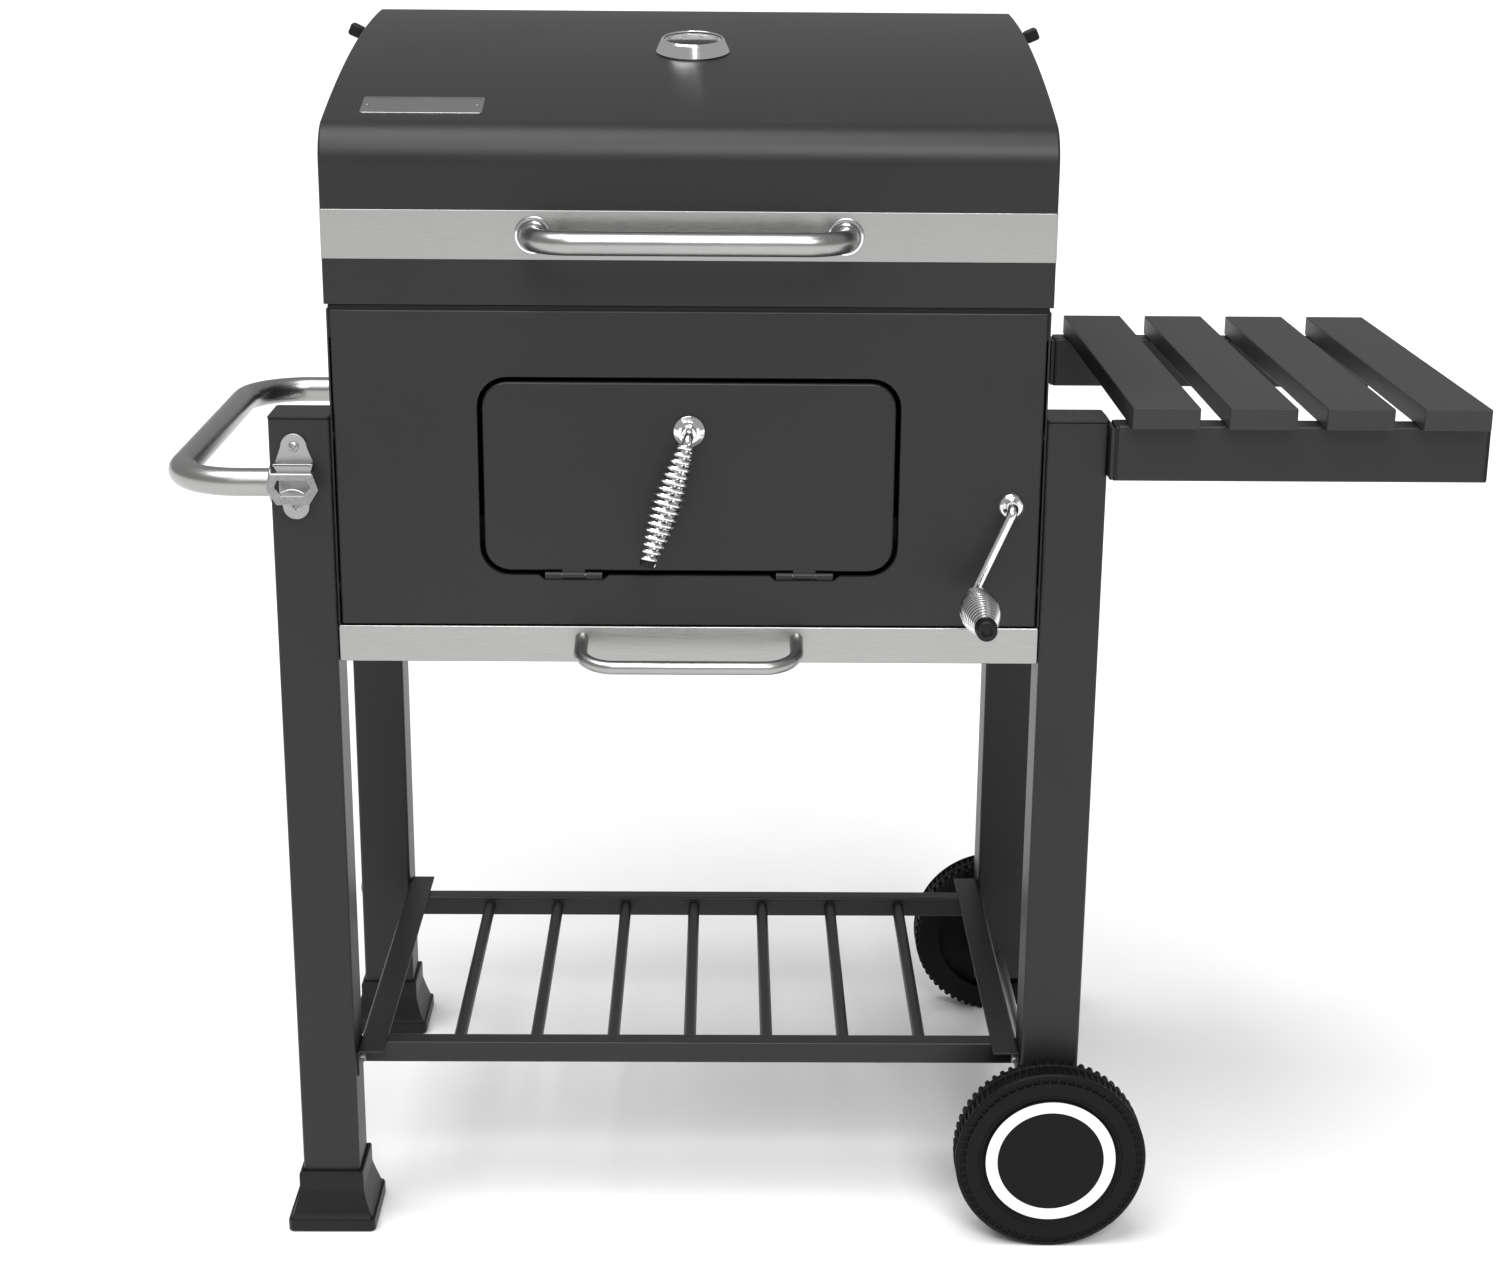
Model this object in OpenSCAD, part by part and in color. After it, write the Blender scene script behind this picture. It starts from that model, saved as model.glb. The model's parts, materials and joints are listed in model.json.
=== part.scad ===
// Trolley charcoal grill: a hinged lid over a firebox with a charcoal door, a crank-lifted
// charcoal tray and an ash drawer, on a four-legged cart with a side shelf and two wheels.
// +X points to the side shelf, +Y to the back, +Z up; the floor is at zero height.

/* [Firebox] */
// Outside width of the firebox
firebox_w = 620; // [560:1:760]
// Outside depth of the firebox
firebox_d = 450; // [400:1:560]
// Height of the firebox's top edge above the floor
firebox_top = 874; // [860:1:980]
// Height of the front panel
front_panel_h = 280; // [270:1:300]
// Thickness of the firebox and lid sheet
sheet = 1.5; // [1:0.1:2]
// Width of the ledge that carries the cooking grates
ledge_w = 14; // [10:1:20]
// Depth of the ledge below the firebox's top edge
ledge_drop = 24; // [18:1:36]

/* [Lid] */
// Height of the straight front of the lid
lid_front_h = 117.5; // [90:0.5:150]
// Radius of the bend between the lid's front and its crown
lid_bend_r = 35.7; // [15:0.1:45]
// Slope of the crown where it leaves the bend, in degrees
crown_angle = 16.24; // [14:0.01:20]
// Radius of the lid's crown
crown_r = 1800; // [1700:10:2200]
// Radius of the bend at the back of the lid
lid_back_r = 20; // [12:1:30]
// Gap between the firebox's top edge and the lid
lid_gap = 4.5; // [3:0.5:8]
// Amount by which the lid stands proud of the firebox at each side
lid_proud = 1; // [0.5:0.5:2]
// Height of the steel band on the lid
band_h = 41.6; // [30:0.1:60]
// Height of the band's centre above the lid's lower edge
band_rise = 59.6; // [40:0.1:75]
// Length of the band's turned ends on the lid's sides
band_return = 70; // [30:1:120]
// Distance between the two feet of the lid handle
lid_handle_span = 264; // [200:1:400]
// Distance that the lid handle stands off
lid_handle_reach = 50; // [40:1:65]
// Outside diameter of the lid handle's tube
lid_handle_dia = 20; // [14:0.5:24]
// Width of the blank name plate
plate_w = 104; // [60:1:140]
// Height of the blank name plate along the slope
plate_h = 38; // [20:1:45]
// Diameter of the thermometer's case
thermometer_dia = 68; // [50:1:80]
// Radius of the lid's side vents
vent_r = 40; // [30:1:42]

/* [Door] */
// Width of the charcoal door
door_w = 358; // [280:1:380]
// Height of the charcoal door
door_h = 168; // [150:1:175]
// Height of the door's centre above the front panel's lower edge
door_rise = 134; // [128:1:140]
// Corner radius of the door
door_corner_r = 22; // [10:1:30]
// Gap round the door
door_gap = 4; // [3:0.5:6]
// Distance between the centres of the door's two hinges
door_hinge_span = 203; // [150:1:260]

/* [Crank and charcoal tray] */
// Distance of the crank's shaft from the firebox's side
crank_inset = 28.2; // [26:0.1:36]
// Height of the crank's shaft above the front panel's lower edge
crank_rise = 110.5; // [100:0.5:130]
// Length of the crank's arm
crank_arm_l = 80; // [60:1:85]
// Lift of the charcoal tray
tray_lift = 90; // [60:1:100]
// Outside height of the charcoal tray
tray_h = 60; // [40:1:65]
// Number of teeth on the lift pinions
pinion_teeth = 12; // [12:1:14]
// Tooth module of the lift pinions and racks
gear_module = 2.5; // [2:0.1:2.5]

/* [Ash drawer] */
// Height of the drawer's front
drawer_h = 34; // [30:1:44]
// Distance between the two feet of the drawer handle
drawer_handle_span = 190; // [140:1:260]
// Distance that the drawer handle stands off
drawer_handle_reach = 53; // [40:1:58]
// Diameter of the drawer handle's bar
drawer_handle_dia = 12; // [8:0.5:14]

/* [Legs and feet] */
// Width of a leg
leg_w = 53; // [40:1:64]
// Depth of a leg
leg_d = 50; // [40:1:60]
// Wall of a leg
leg_wall = 1.5; // [1:0.1:2.5]
// Height of the legs' top ends above the floor
leg_top = 779; // [740:1:800]
// Distance that the front legs stand in front of the firebox
leg_forward = 4.5; // [2:0.5:10]
// Distance that the back legs stand behind the firebox
leg_back = 20; // [10:1:30]
// Width of a foot at the floor
foot_w = 82; // [72:1:96]
// Height of a foot
foot_h = 57; // [45:1:75]

/* [Side shelf] */
// Number of slats on the side shelf
slat_count = 4; // [3:1:5]
// Width of a slat
slat_w = 58.2; // [40:0.1:65]
// Distance from one slat to the next
slat_pitch = 83.1; // [70:0.1:95]
// Length of a slat
slat_l = 467; // [440:1:520]
// Thickness of a slat
slat_t = 19; // [12:1:25]
// Height of the side shelf's surface above the floor
shelf_top = 800; // [790:1:812]
// Height of the side shelf's rails
rail_h = 49; // [35:1:60]
// Thickness of the side shelf's rails
rail_t = 28; // [20:1:35]

/* [Side handle] */
// Distance from the left legs to the middle of the handle's tube
side_handle_reach = 92; // [70:1:130]
// Outside diameter of the side handle's tube
side_handle_dia = 25; // [18:1:28]
// Bend radius of the side handle
side_handle_bend_r = 60; // [45:1:65]
// Height of the side handle above the floor
side_handle_z = 718; // [690:1:740]

/* [Bottom shelf] */
// Height of the bottom shelf's surface above the floor
low_shelf_top = 175.5; // [160:0.5:260]
// Number of bars in the bottom shelf
low_bar_count = 7; // [5:1:7]
// Distance from one bar to the next
low_bar_pitch = 73.3; // [60:0.1:75]
// Diameter of the bars
low_bar_dia = 12; // [8:1:16]

/* [Wheels] */
// Diameter of a wheel
wheel_dia = 177.4; // [160:0.2:180]
// Width of a wheel
wheel_w = 36; // [32:1:44]
// Diameter of the axle
axle_dia = 10; // [8:0.5:12]

/* [Hidden] */
$fn = 48;

// Clearances and small sizes
fit_gap = 0.05;
slide_gap = 0.3;
touch = 0.01;
paint = [0.23, 0.23, 0.24];
black = [0.08, 0.08, 0.08];
steel = [0.78, 0.78, 0.77];
chrome = [0.88, 0.88, 0.9];

// Main places
side_x = firebox_w / 2;
leg_in_x = side_x + 0.5;
leg_out_x = leg_in_x + leg_w;
front_leg_y = -leg_forward;
back_leg_y = firebox_d + leg_back - leg_d;
front_bottom = firebox_top - front_panel_h;
drawer_gap = 1;
drawer_top = front_bottom - drawer_gap;
drawer_bottom = drawer_top - drawer_h + drawer_gap;
panel_bottom = drawer_bottom;
leg_cap_t = 2.5;

// Lid outline: straight front, bend, crown arc, back bend and straight back
lid_z = firebox_top + lid_gap;
lid_x = side_x + lid_proud;
lid_d = firebox_d + 2;
bend_z = lid_z + lid_front_h;
crown_y = lid_bend_r + (crown_r - lid_bend_r) * sin(crown_angle);
crown_z = bend_z - (crown_r - lid_bend_r) * cos(crown_angle);
back_y = lid_d - lid_back_r;
back_z = crown_z + sqrt(pow(crown_r - lid_back_r, 2) - pow(back_y - crown_y, 2));
back_angle = atan2(back_y - crown_y, back_z - crown_z);
function arc_points(y, z, r, from, to, steps) =
    [for (i = [0 : steps]) let (a = from + (to - from) * i / steps) [y + r * sin(a), z + r * cos(a)]];
function lid_outline(inset, low) = concat(
    [[inset, low]],
    arc_points(lid_bend_r, bend_z, lid_bend_r - inset, -90, -crown_angle, 8),
    arc_points(crown_y, crown_z, crown_r - inset, -crown_angle, back_angle, 20),
    arc_points(back_y, back_z, lid_back_r - inset, back_angle, 90, 8),
    [[lid_d - inset, low]]);
function crown_tilt(y) = asin((y - crown_y) / crown_r);
function crown_height(y) = crown_z + crown_r * cos(crown_tilt(y));

// Band, handle and fittings on the lid
band_t = 1.2;
band_z = lid_z + band_rise;
plate_x = -229;
plate_y = 58.5;
plate_t = 1;
thermometer_y = 218;
thermometer_r = thermometer_dia / 2;
thermometer_h = 13;
thermometer_lift = 0.4;
stem_r = 4;
stem_l = 55;
dial_r = thermometer_r - 8;
vent_y = 0.755 * firebox_d;
vent_z = crown_height(vent_y) - vent_r - 4;
vent_hole_r = 8;
vent_hole_ring = 0.6 * vent_r;
vent_knob_ring = vent_r - 6;
vent_t = 1.2;
rivet_r = 3;

// Lid hinge
lid_pin_r = 2.5;
lid_barrel_r = 5;
lid_hinge_y = firebox_d + 8;
lid_hinge_z = firebox_top + 2.5;
lid_hinge_x = 0.32 * firebox_w;
lid_hinge_l = 60;
lid_leaf_t = 3.2;
lid_leaf_h = 36;

// Door and its hinges
door_z = front_bottom + door_rise;
door_low = door_z - door_h / 2;
open_low = door_low - door_gap;
open_high = door_z + door_h / 2 + door_gap;
door_pin_r = 1.5;
door_barrel_r = 2.8;
door_axis_y = sheet / 2;
door_axis_z = open_low;
door_hinge_l = 50;
door_leaf_t = 1.2;
door_leaf_h = 22;
knuckle_gap = 0.4;

// Door handle: a rod through the door, its grip hanging down to the left
handle_z = door_z + 42;
handle_out = 30;
handle_rod_r = 4;
grip_top_drop = 7;
grip_wire_t = 3;
bend_bulge = 0.6;
door_grip_l = 104;
door_grip_r = 13.5;
door_grip_end_r = 7;
door_grip_turns = 17;
door_cap_l = 6;
grip_lean = 18.5;
grip_out = 10.8;
ring_r = 14;
latch_l = open_high - handle_z + 12;
latch_swing = 75;

// Crank, lift pinions and racks
crank_x = side_x - crank_inset;
crank_z = front_bottom + crank_rise;
shaft_r = 5;
arm_r = 4;
crank_out = 18;
crank_lean = 23.2;
arm_end_x = crank_x - crank_arm_l * sin(crank_lean);
arm_end_z = crank_z - crank_arm_l * cos(crank_lean);
crank_grip_l = 94;
crank_grip_r = 17.5;
crank_grip_end_r = 8.5;
crank_grip_turns = 15;
crank_grip_start = crank_out + 11;
crank_cap_l = 14;
crank_front = crank_grip_start + crank_grip_l + crank_cap_l;
pitch_r = gear_module * pinion_teeth / 2;
tooth_pitch = PI * gear_module;
pressure_angle = 20;
base_r = pitch_r * cos(pressure_angle);
pinion_tip_r = pitch_r + 0.8 * gear_module;
pinion_root_r = pitch_r - gear_module;
backlash = 0.4;
gear_t = 10;
rack_x = crank_x - pitch_r;
rack_tip = 0.6 * gear_module;
rack_root = 1.15 * gear_module;
rack_back = 9;
tray_x = rack_x - rack_root - rack_back;
tray_front = 35;
tray_back = firebox_d - 35;
tray_z = front_bottom + 31;
tray_t = 1.5;
rack_y = [tray_front + 35, tray_back - 35 - gear_t];
guide_x = tray_x - 35;
guide_w = 20;
guide_depth = 14;
ear_w = 8;
ear_h = 10;

// Ash drawer
drawer_skin = 1.2;
tray_floor_z = drawer_bottom + 2.3;
drawer_tray_x = side_x - 14;
drawer_tray_l = firebox_d - 20;
runner_gap = 0.3;
runner_t = 1.5;
drawer_droop = 11;

// Side shelf
bracket_t = 3;
cap_t = 3;
rail_in_x = leg_out_x + bracket_t + cap_t;
slat_x = rail_in_x + 8.5;
rail_out_x = slat_x + (slat_count - 1) * slat_pitch + slat_w + 1.5;
shelf_out_x = rail_out_x + cap_t;
slat_y = front_leg_y - 31.5;
front_rail_y = slat_y + 16;
back_rail_y = back_leg_y - rail_t + 9;
rail_z = shelf_top - slat_t - rail_h;

// Bottom shelf
angle_w = 25;
angle_t = 1.8;
low_rail_t = 18.5;
low_rail_h = 21;
low_front_y = 29.5;
low_back_y = firebox_d - 49.5 - low_rail_t;

// Wheels and axle
wheel_r = wheel_dia / 2;
axle_r = axle_dia / 2;
axle_x = leg_in_x + leg_w / 2;
wheel_gap = 2.5;
hub_r = axle_r + 9;
cap_disc_r = 0.694 * wheel_r;
front_wheel_y = front_leg_y - wheel_gap;
back_leg_end = back_leg_y + leg_d;
rear_wheel_y = back_leg_end + wheel_gap;
nut_t = 1.9;
hub_l = wheel_w - 5;

// Side handle
side_tube_r = side_handle_dia / 2;
side_handle_x = -leg_out_x - side_handle_reach;
side_front_y = front_leg_y + leg_d / 2 - 2;
side_back_y = back_leg_y + leg_d / 2 - 12;

// Bolts
bolt_r = 3;
bolt_clear = 0.2;
bolt_levels = [leg_top - 20, front_bottom + 26];
front_bolt_y = front_leg_y + leg_d / 2 + 4;
back_bolt_y = back_leg_y + leg_d / 2 - 8;
low_bolt_z = low_shelf_top - 13;

// The origin stands on the floor under the middle of the whole object
x_min = side_handle_x - side_tube_r;
x_max = shelf_out_x;
y_min = -crank_front;
y_max = rear_wheel_y + wheel_w;
mid_x = (x_min + x_max) / 2;
mid_y = (y_min + y_max) / 2;

module placed() {
    translate([-mid_x, -mid_y, 0]) children();
}

// Extrudes an outline drawn in Y and Z along X, from one X to another
module across(x0, x1) {
    translate([x0, 0, 0]) rotate([90, 0, 90]) linear_extrude(x1 - x0) children();
}

// Extrudes an outline drawn in X and Z along Y, from one Y to another
module deep(y0, y1) {
    translate([0, y1, 0]) rotate([90, 0, 0]) linear_extrude(y1 - y0) children();
}

// A box given by its lowest and highest corner
module block(low, high) {
    translate(low) cube(high - low);
}

// A round rod between two points
module rod(from, to, r) {
    span = to - from;
    reach = norm(span);
    translate(from) rotate([0, acos(span[2] / reach), atan2(span[1], span[0])]) cylinder(h = reach, r = r);
}

// A round bar along Y
module pin_y(x, z, y0, y1, r) {
    translate([x, y0, z]) rotate([-90, 0, 0]) cylinder(h = y1 - y0, r = r);
}

// A round bar along X
module pin_x(y, z, x0, x1, r) {
    translate([x0, y, z]) rotate([0, 90, 0]) cylinder(h = x1 - x0, r = r);
}

// Rectangle with rounded corners, centred
module round_rect(w, h, r) {
    square([w, h - 2 * r], center = true);
    square([w - 2 * r, h], center = true);
    for (i = [-1, 1], j = [-1, 1]) {
        translate([i * (w / 2 - r), j * (h / 2 - r)]) circle(r);
    }
}

// Section of a round tube
module ring_2d(r, wall) {
    difference() {
        circle(r);
        circle(r - wall);
    }
}

// U-shaped tube in the XY plane: two feet on the X axis, bowed out towards -Y
module bow_tube(span, reach, bend, r, wall) {
    for (s = [-1, 1]) {
        translate([s * span / 2, -(reach - bend), 0]) rotate([-90, 0, 0])
            linear_extrude(reach - bend) ring_2d(r, wall);
        translate([s * (span / 2 - bend), -(reach - bend), 0]) rotate([0, 0, s > 0 ? -90 : 180])
            rotate_extrude(angle = 90) translate([bend, 0]) ring_2d(r, wall);
    }
    translate([-(span / 2 - bend), -reach, 0]) rotate([0, 90, 0])
        linear_extrude(span - 2 * bend) ring_2d(r, wall);
}

// Sprung-wire grip as a ribbed barrel sleeve along +Z
function barrel(t, r_end, r_mid) = r_end + (r_mid - r_end) * sin(180 * t);
module wire_grip(length, r_end, r_mid, bore, turns, wire) {
    pitch = length / turns;
    outside = [for (i = [0 : turns - 1], s = [0 : 3])
        let (z = (i + s / 4) * pitch, rib = [0, 0.8, 1, 0.8][s])
        [barrel(z / length, r_end, r_mid) - wire * 0.6 * (1 - rib), z]];
    inside = [for (i = [0 : 8]) let (t = 1 - i / 8)
        [max(bore, barrel(t, r_end, r_mid) - 2 * wire), t * length]];
    rotate_extrude() polygon(concat(outside, [[r_end - wire * 0.6, length]], inside));
}

// ---- Cart ----
module leg_tube(x, y, low) {
    block([x, y, low], [x + leg_w, y + leg_d, leg_top]);
}

module leg_hollow(x, y, low) {
    block([x + leg_wall, y + leg_wall, low - 1], [x + leg_w - leg_wall, y + leg_d - leg_wall, leg_top + 1]);
}

module leg_bolt_holes() {
    for (z = bolt_levels, y = [front_bolt_y, back_bolt_y]) {
        pin_x(y, z, -leg_out_x - 1, leg_out_x + 1, bolt_r + bolt_clear);
    }
    for (y = [front_bolt_y, back_bolt_y]) {
        pin_x(y, low_bolt_z, -leg_out_x - 1, leg_out_x + 1, bolt_r + bolt_clear);
    }
}

foot_floor = 4;
module left_legs() {
    color(paint) placed() for (y = [front_leg_y, back_leg_y]) {
        difference() {
            leg_tube(-leg_out_x, y, foot_floor);
            leg_hollow(-leg_out_x, y, foot_floor);
            leg_bolt_holes();
        }
    }
}

right_leg_low = wheel_r - 26;
module right_legs() {
    color(paint) placed() for (y = [front_leg_y, back_leg_y]) {
        difference() {
            leg_tube(leg_in_x, y, right_leg_low);
            leg_hollow(leg_in_x, y, right_leg_low);
            leg_bolt_holes();
            pin_y(axle_x, wheel_r, y - 1, y + leg_d + 1, axle_r + fit_gap);
        }
    }
}

plug_depth = 14;
cap_proud = 0.4;
module leg_caps() {
    color(black) placed() for (x = [-leg_out_x, leg_in_x], y = [front_leg_y, back_leg_y]) {
        block([x - cap_proud, y - cap_proud, leg_top],
              [x + leg_w + cap_proud, y + leg_d + cap_proud, leg_top + leg_cap_t]);
        difference() {
            block([x + leg_wall + slide_gap, y + leg_wall + slide_gap, leg_top - plug_depth],
                  [x + leg_w - leg_wall - slide_gap, y + leg_d - leg_wall - slide_gap, leg_top]);
            block([x + 5, y + 5, leg_top - plug_depth - 1], [x + leg_w - 5, y + leg_d - 5, leg_top - 1]);
        }
    }
}

foot_rim = 12;
foot_wall = 3.5;
module left_feet() {
    color(black) placed() for (y = [front_leg_y, back_leg_y]) {
        translate([-leg_out_x + leg_w / 2, y + leg_d / 2, 0]) difference() {
            union() {
                translate([-foot_w / 2, -foot_w / 2, 0]) cube([foot_w, foot_w, foot_rim]);
                hull() {
                    translate([-foot_w / 2, -foot_w / 2, foot_rim - 0.5]) cube([foot_w, foot_w, 0.5]);
                    translate([-leg_w / 2 - foot_wall, -leg_d / 2 - foot_wall, foot_h - 20])
                        cube([leg_w + 2 * foot_wall, leg_d + 2 * foot_wall, 20]);
                }
            }
            translate([-leg_w / 2 - slide_gap, -leg_d / 2 - slide_gap, foot_floor])
                cube([leg_w + 2 * slide_gap, leg_d + 2 * slide_gap, foot_h]);
        }
    }
}

// ---- Firebox ----
module door_opening() {
    translate([0, door_z]) round_rect(door_w + 2 * door_gap, door_h + 2 * door_gap, door_corner_r + door_gap);
    for (s = [-1, 1]) {
        translate([s * door_hinge_span / 2 - door_hinge_l / 2 - 1, open_low - door_barrel_r - 1.4])
            square([door_hinge_l + 2, door_barrel_r + 6]);
    }
}

bushing_r = 8;
module front_panel() {
    color(paint) placed() deep(0, sheet) difference() {
        translate([-side_x, front_bottom]) square([firebox_w, front_panel_h]);
        door_opening();
        translate([crank_x, crank_z]) circle(bushing_r + fit_gap);
    }
}

module back_panel() {
    color(paint) placed() block([-side_x, firebox_d - sheet, panel_bottom], [side_x, firebox_d, firebox_top]);
}

module side_panels() {
    color(paint) placed() for (x = [-side_x, side_x - sheet]) {
        difference() {
            block([x, sheet, panel_bottom], [x + sheet, firebox_d - sheet, firebox_top]);
            leg_bolt_holes();
        }
    }
}

rim_top = lid_z - 1;
ledge_z = firebox_top - ledge_drop;
rim_x = side_x - sheet;
module firebox_rim() {
    color(paint) placed() difference() {
        block([-rim_x, sheet, ledge_z], [rim_x, firebox_d - sheet, rim_top]);
        block([-rim_x + sheet, 2 * sheet, ledge_z + sheet],
              [rim_x - sheet, firebox_d - 2 * sheet, rim_top + 1]);
        block([-rim_x + ledge_w, sheet + ledge_w, ledge_z - 1],
              [rim_x - ledge_w, firebox_d - sheet - ledge_w, ledge_z + 2 * sheet]);
    }
}

grate_frame_r = 3;
grate_bar_r = 2.5;
grate_bars = 14;
module wire_grate(x0, x1, y0, y1, z, frame_r, bar_r, bars) {
    for (x = [x0, x1]) {
        pin_y(x, z, y0, y1, frame_r);
        for (y = [y0, y1]) {
            translate([x, y, z]) sphere(frame_r);
        }
    }
    for (y = [y0, (y0 + y1) / 2, y1]) {
        pin_x(y, z, x0, x1, frame_r);
    }
    for (i = [1 : bars]) {
        pin_y(x0 + (x1 - x0) * i / (bars + 1), z, y0, y1, bar_r);
    }
}

grate_out_x = rim_x - sheet - 9;
grate_in_x = grate_frame_r + 1;
module cooking_grates() {
    color(chrome) placed() for (x = [-grate_out_x, grate_in_x]) {
        wire_grate(x, x + grate_out_x - grate_in_x, 2 * sheet + 7, firebox_d - 2 * sheet - 7,
            ledge_z + sheet + grate_frame_r, grate_frame_r, grate_bar_r, grate_bars);
    }
}

warming_front = 0.6 * firebox_d;
warming_back = firebox_d - 30;
warming_rise = 108;
warming_leg_x = rim_x - sheet - 3;
warming_wire_r = 2.5;
warming_z = ledge_z + sheet + warming_rise;
module warming_rack() {
    color(chrome) placed()
        wire_grate(-warming_leg_x, warming_leg_x, warming_front, warming_back, warming_z, warming_wire_r, 1.5, 27);
}

module warming_rack_legs() {
    color(chrome) placed() for (x = [-warming_leg_x, warming_leg_x], y = [warming_front, warming_back]) {
        translate([x, y, ledge_z + sheet]) cylinder(h = warming_rise - warming_wire_r, r = warming_wire_r);
    }
}

module drawer_runners() {
    color(paint) placed() for (s = [0, 1]) {
        mirror([s, 0, 0]) {
            block([side_x - 24, 12, tray_floor_z - runner_gap - runner_t],
                  [side_x - sheet, firebox_d - sheet - 1, tray_floor_z - runner_gap]);
            block([side_x - sheet - runner_t, 12, tray_floor_z - runner_gap - touch],
                  [side_x - sheet, firebox_d - sheet - 1, tray_floor_z + 20]);
        }
    }
}

guide_low = tray_z + 30;
guide_high = ledge_z - 4;
module lift_guide() {
    difference() {
        block([-guide_w / 2, 0, guide_low], [guide_w / 2, guide_depth, guide_high]);
        block([-ear_w / 2 - slide_gap - 0.1, 2, guide_low - 1],
              [ear_w / 2 + slide_gap + 0.1, guide_depth + 1, guide_high + 1]);
        for (s = [-1, 1]) {
            block([s * (ear_w / 2 + 4) - 2, 2, guide_low - 1],
                  [s * (ear_w / 2 + 4) + 2, guide_depth - 2, guide_high + 1]);
        }
    }
}

module lift_guides() {
    color(steel) placed() for (x = [-guide_x, guide_x]) {
        translate([x, sheet, 0]) lift_guide();
        translate([x, firebox_d - sheet, 0]) rotate([0, 0, 180]) lift_guide();
    }
}

module crank_bushings() {
    color(chrome) placed() {
        difference() {
            union() {
                pin_y(crank_x, crank_z, -4, 0, bushing_r + 3);
                pin_y(crank_x, crank_z, 0, 8, bushing_r);
            }
            pin_y(crank_x, crank_z, -5, 9, shaft_r + fit_gap);
        }
        difference() {
            pin_y(crank_x, crank_z, firebox_d - sheet - 8, firebox_d - sheet, bushing_r + 4);
            pin_y(crank_x, crank_z, firebox_d - sheet - 9, firebox_d - sheet - 2, shaft_r + fit_gap);
        }
    }
}

// ---- Hinges ----
module hinge_pins() {
    color(steel) placed() for (s = [-1, 1]) {
        pin_x(door_axis_y, door_axis_z, s * door_hinge_span / 2 - door_hinge_l / 2,
              s * door_hinge_span / 2 + door_hinge_l / 2, door_pin_r);
        pin_x(lid_hinge_y, lid_hinge_z, s * lid_hinge_x - lid_hinge_l / 2,
              s * lid_hinge_x + lid_hinge_l / 2, lid_pin_r);
    }
}

door_knuckle = door_hinge_l * 0.4;
module door_hinge_brackets() {
    color(steel) placed() for (s = [-1, 1]) {
        translate([s * door_hinge_span / 2, 0, 0]) difference() {
            union() {
                block([-door_hinge_l / 2, sheet, door_axis_z - door_leaf_h],
                      [door_hinge_l / 2, sheet + door_leaf_t, door_axis_z]);
                pin_x(door_axis_y, door_axis_z, -door_hinge_l / 2, door_hinge_l / 2, door_barrel_r);
            }
            block([-door_knuckle / 2 - knuckle_gap, -4, door_axis_z - door_barrel_r - 1],
                  [door_knuckle / 2 + knuckle_gap, 5, door_axis_z + door_barrel_r + 1]);
            pin_x(door_axis_y, door_axis_z, -door_hinge_l, door_hinge_l, door_pin_r + fit_gap);
        }
    }
}

lid_knuckle = lid_hinge_l * 0.4;
module lid_hinge_brackets() {
    color(steel) placed() for (s = [-1, 1]) {
        translate([s * lid_hinge_x, 0, 0]) difference() {
            union() {
                block([-lid_hinge_l / 2, firebox_d, lid_hinge_z - lid_leaf_h],
                      [lid_hinge_l / 2, firebox_d + lid_leaf_t, lid_hinge_z]);
                block([-lid_hinge_l / 2, firebox_d, lid_hinge_z - lid_barrel_r],
                      [lid_hinge_l / 2, lid_hinge_y, lid_hinge_z]);
                pin_x(lid_hinge_y, lid_hinge_z, -lid_hinge_l / 2, lid_hinge_l / 2, lid_barrel_r);
            }
            block([-lid_knuckle / 2 - knuckle_gap, firebox_d - 1, lid_hinge_z - lid_barrel_r - 1],
                  [lid_knuckle / 2 + knuckle_gap, lid_hinge_y + 9, lid_hinge_z + lid_barrel_r + 1]);
            pin_x(lid_hinge_y, lid_hinge_z, -lid_hinge_l, lid_hinge_l, lid_pin_r + fit_gap);
        }
    }
}

module lid_hinge_leaves() {
    color(steel) placed() for (s = [-1, 1]) {
        translate([s * lid_hinge_x, 0, 0]) difference() {
            union() {
                block([-lid_hinge_l / 2, lid_d, lid_z], [lid_hinge_l / 2, lid_d + lid_leaf_t, lid_z + lid_leaf_h]);
                block([-lid_knuckle / 2, lid_d, lid_hinge_z],
                      [lid_knuckle / 2, lid_hinge_y, lid_hinge_z + lid_barrel_r]);
                pin_x(lid_hinge_y, lid_hinge_z, -lid_knuckle / 2, lid_knuckle / 2, lid_barrel_r);
            }
            pin_x(lid_hinge_y, lid_hinge_z, -lid_hinge_l, lid_hinge_l, lid_pin_r + fit_gap);
            for (t = [-1, 1]) {
                translate([t * (lid_knuckle / 2 + lid_hinge_l / 4 + knuckle_gap), lid_hinge_y, lid_hinge_z])
                    cube([lid_hinge_l / 2, 2 * lid_barrel_r + 2, 2 * lid_barrel_r + 2], center = true);
            }
        }
    }
}

// ---- Side handle, opener and bolts ----
flange_t = 3;
side_wall = 1.5;
module side_handle() {
    run = side_back_y - side_front_y;
    color(steel) placed() {
        translate([-leg_out_x, (side_front_y + side_back_y) / 2, side_handle_z]) rotate([0, 0, -90])
            bow_tube(run, side_handle_reach, side_handle_bend_r, side_tube_r, side_wall);
        for (y = [side_front_y, side_back_y]) {
            difference() {
                pin_x(y, side_handle_z, -leg_out_x - flange_t, -leg_out_x, side_tube_r + 6);
                pin_x(y, side_handle_z, -leg_out_x - flange_t - 1, -leg_out_x + 1, side_tube_r - side_wall);
            }
        }
    }
}

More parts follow.
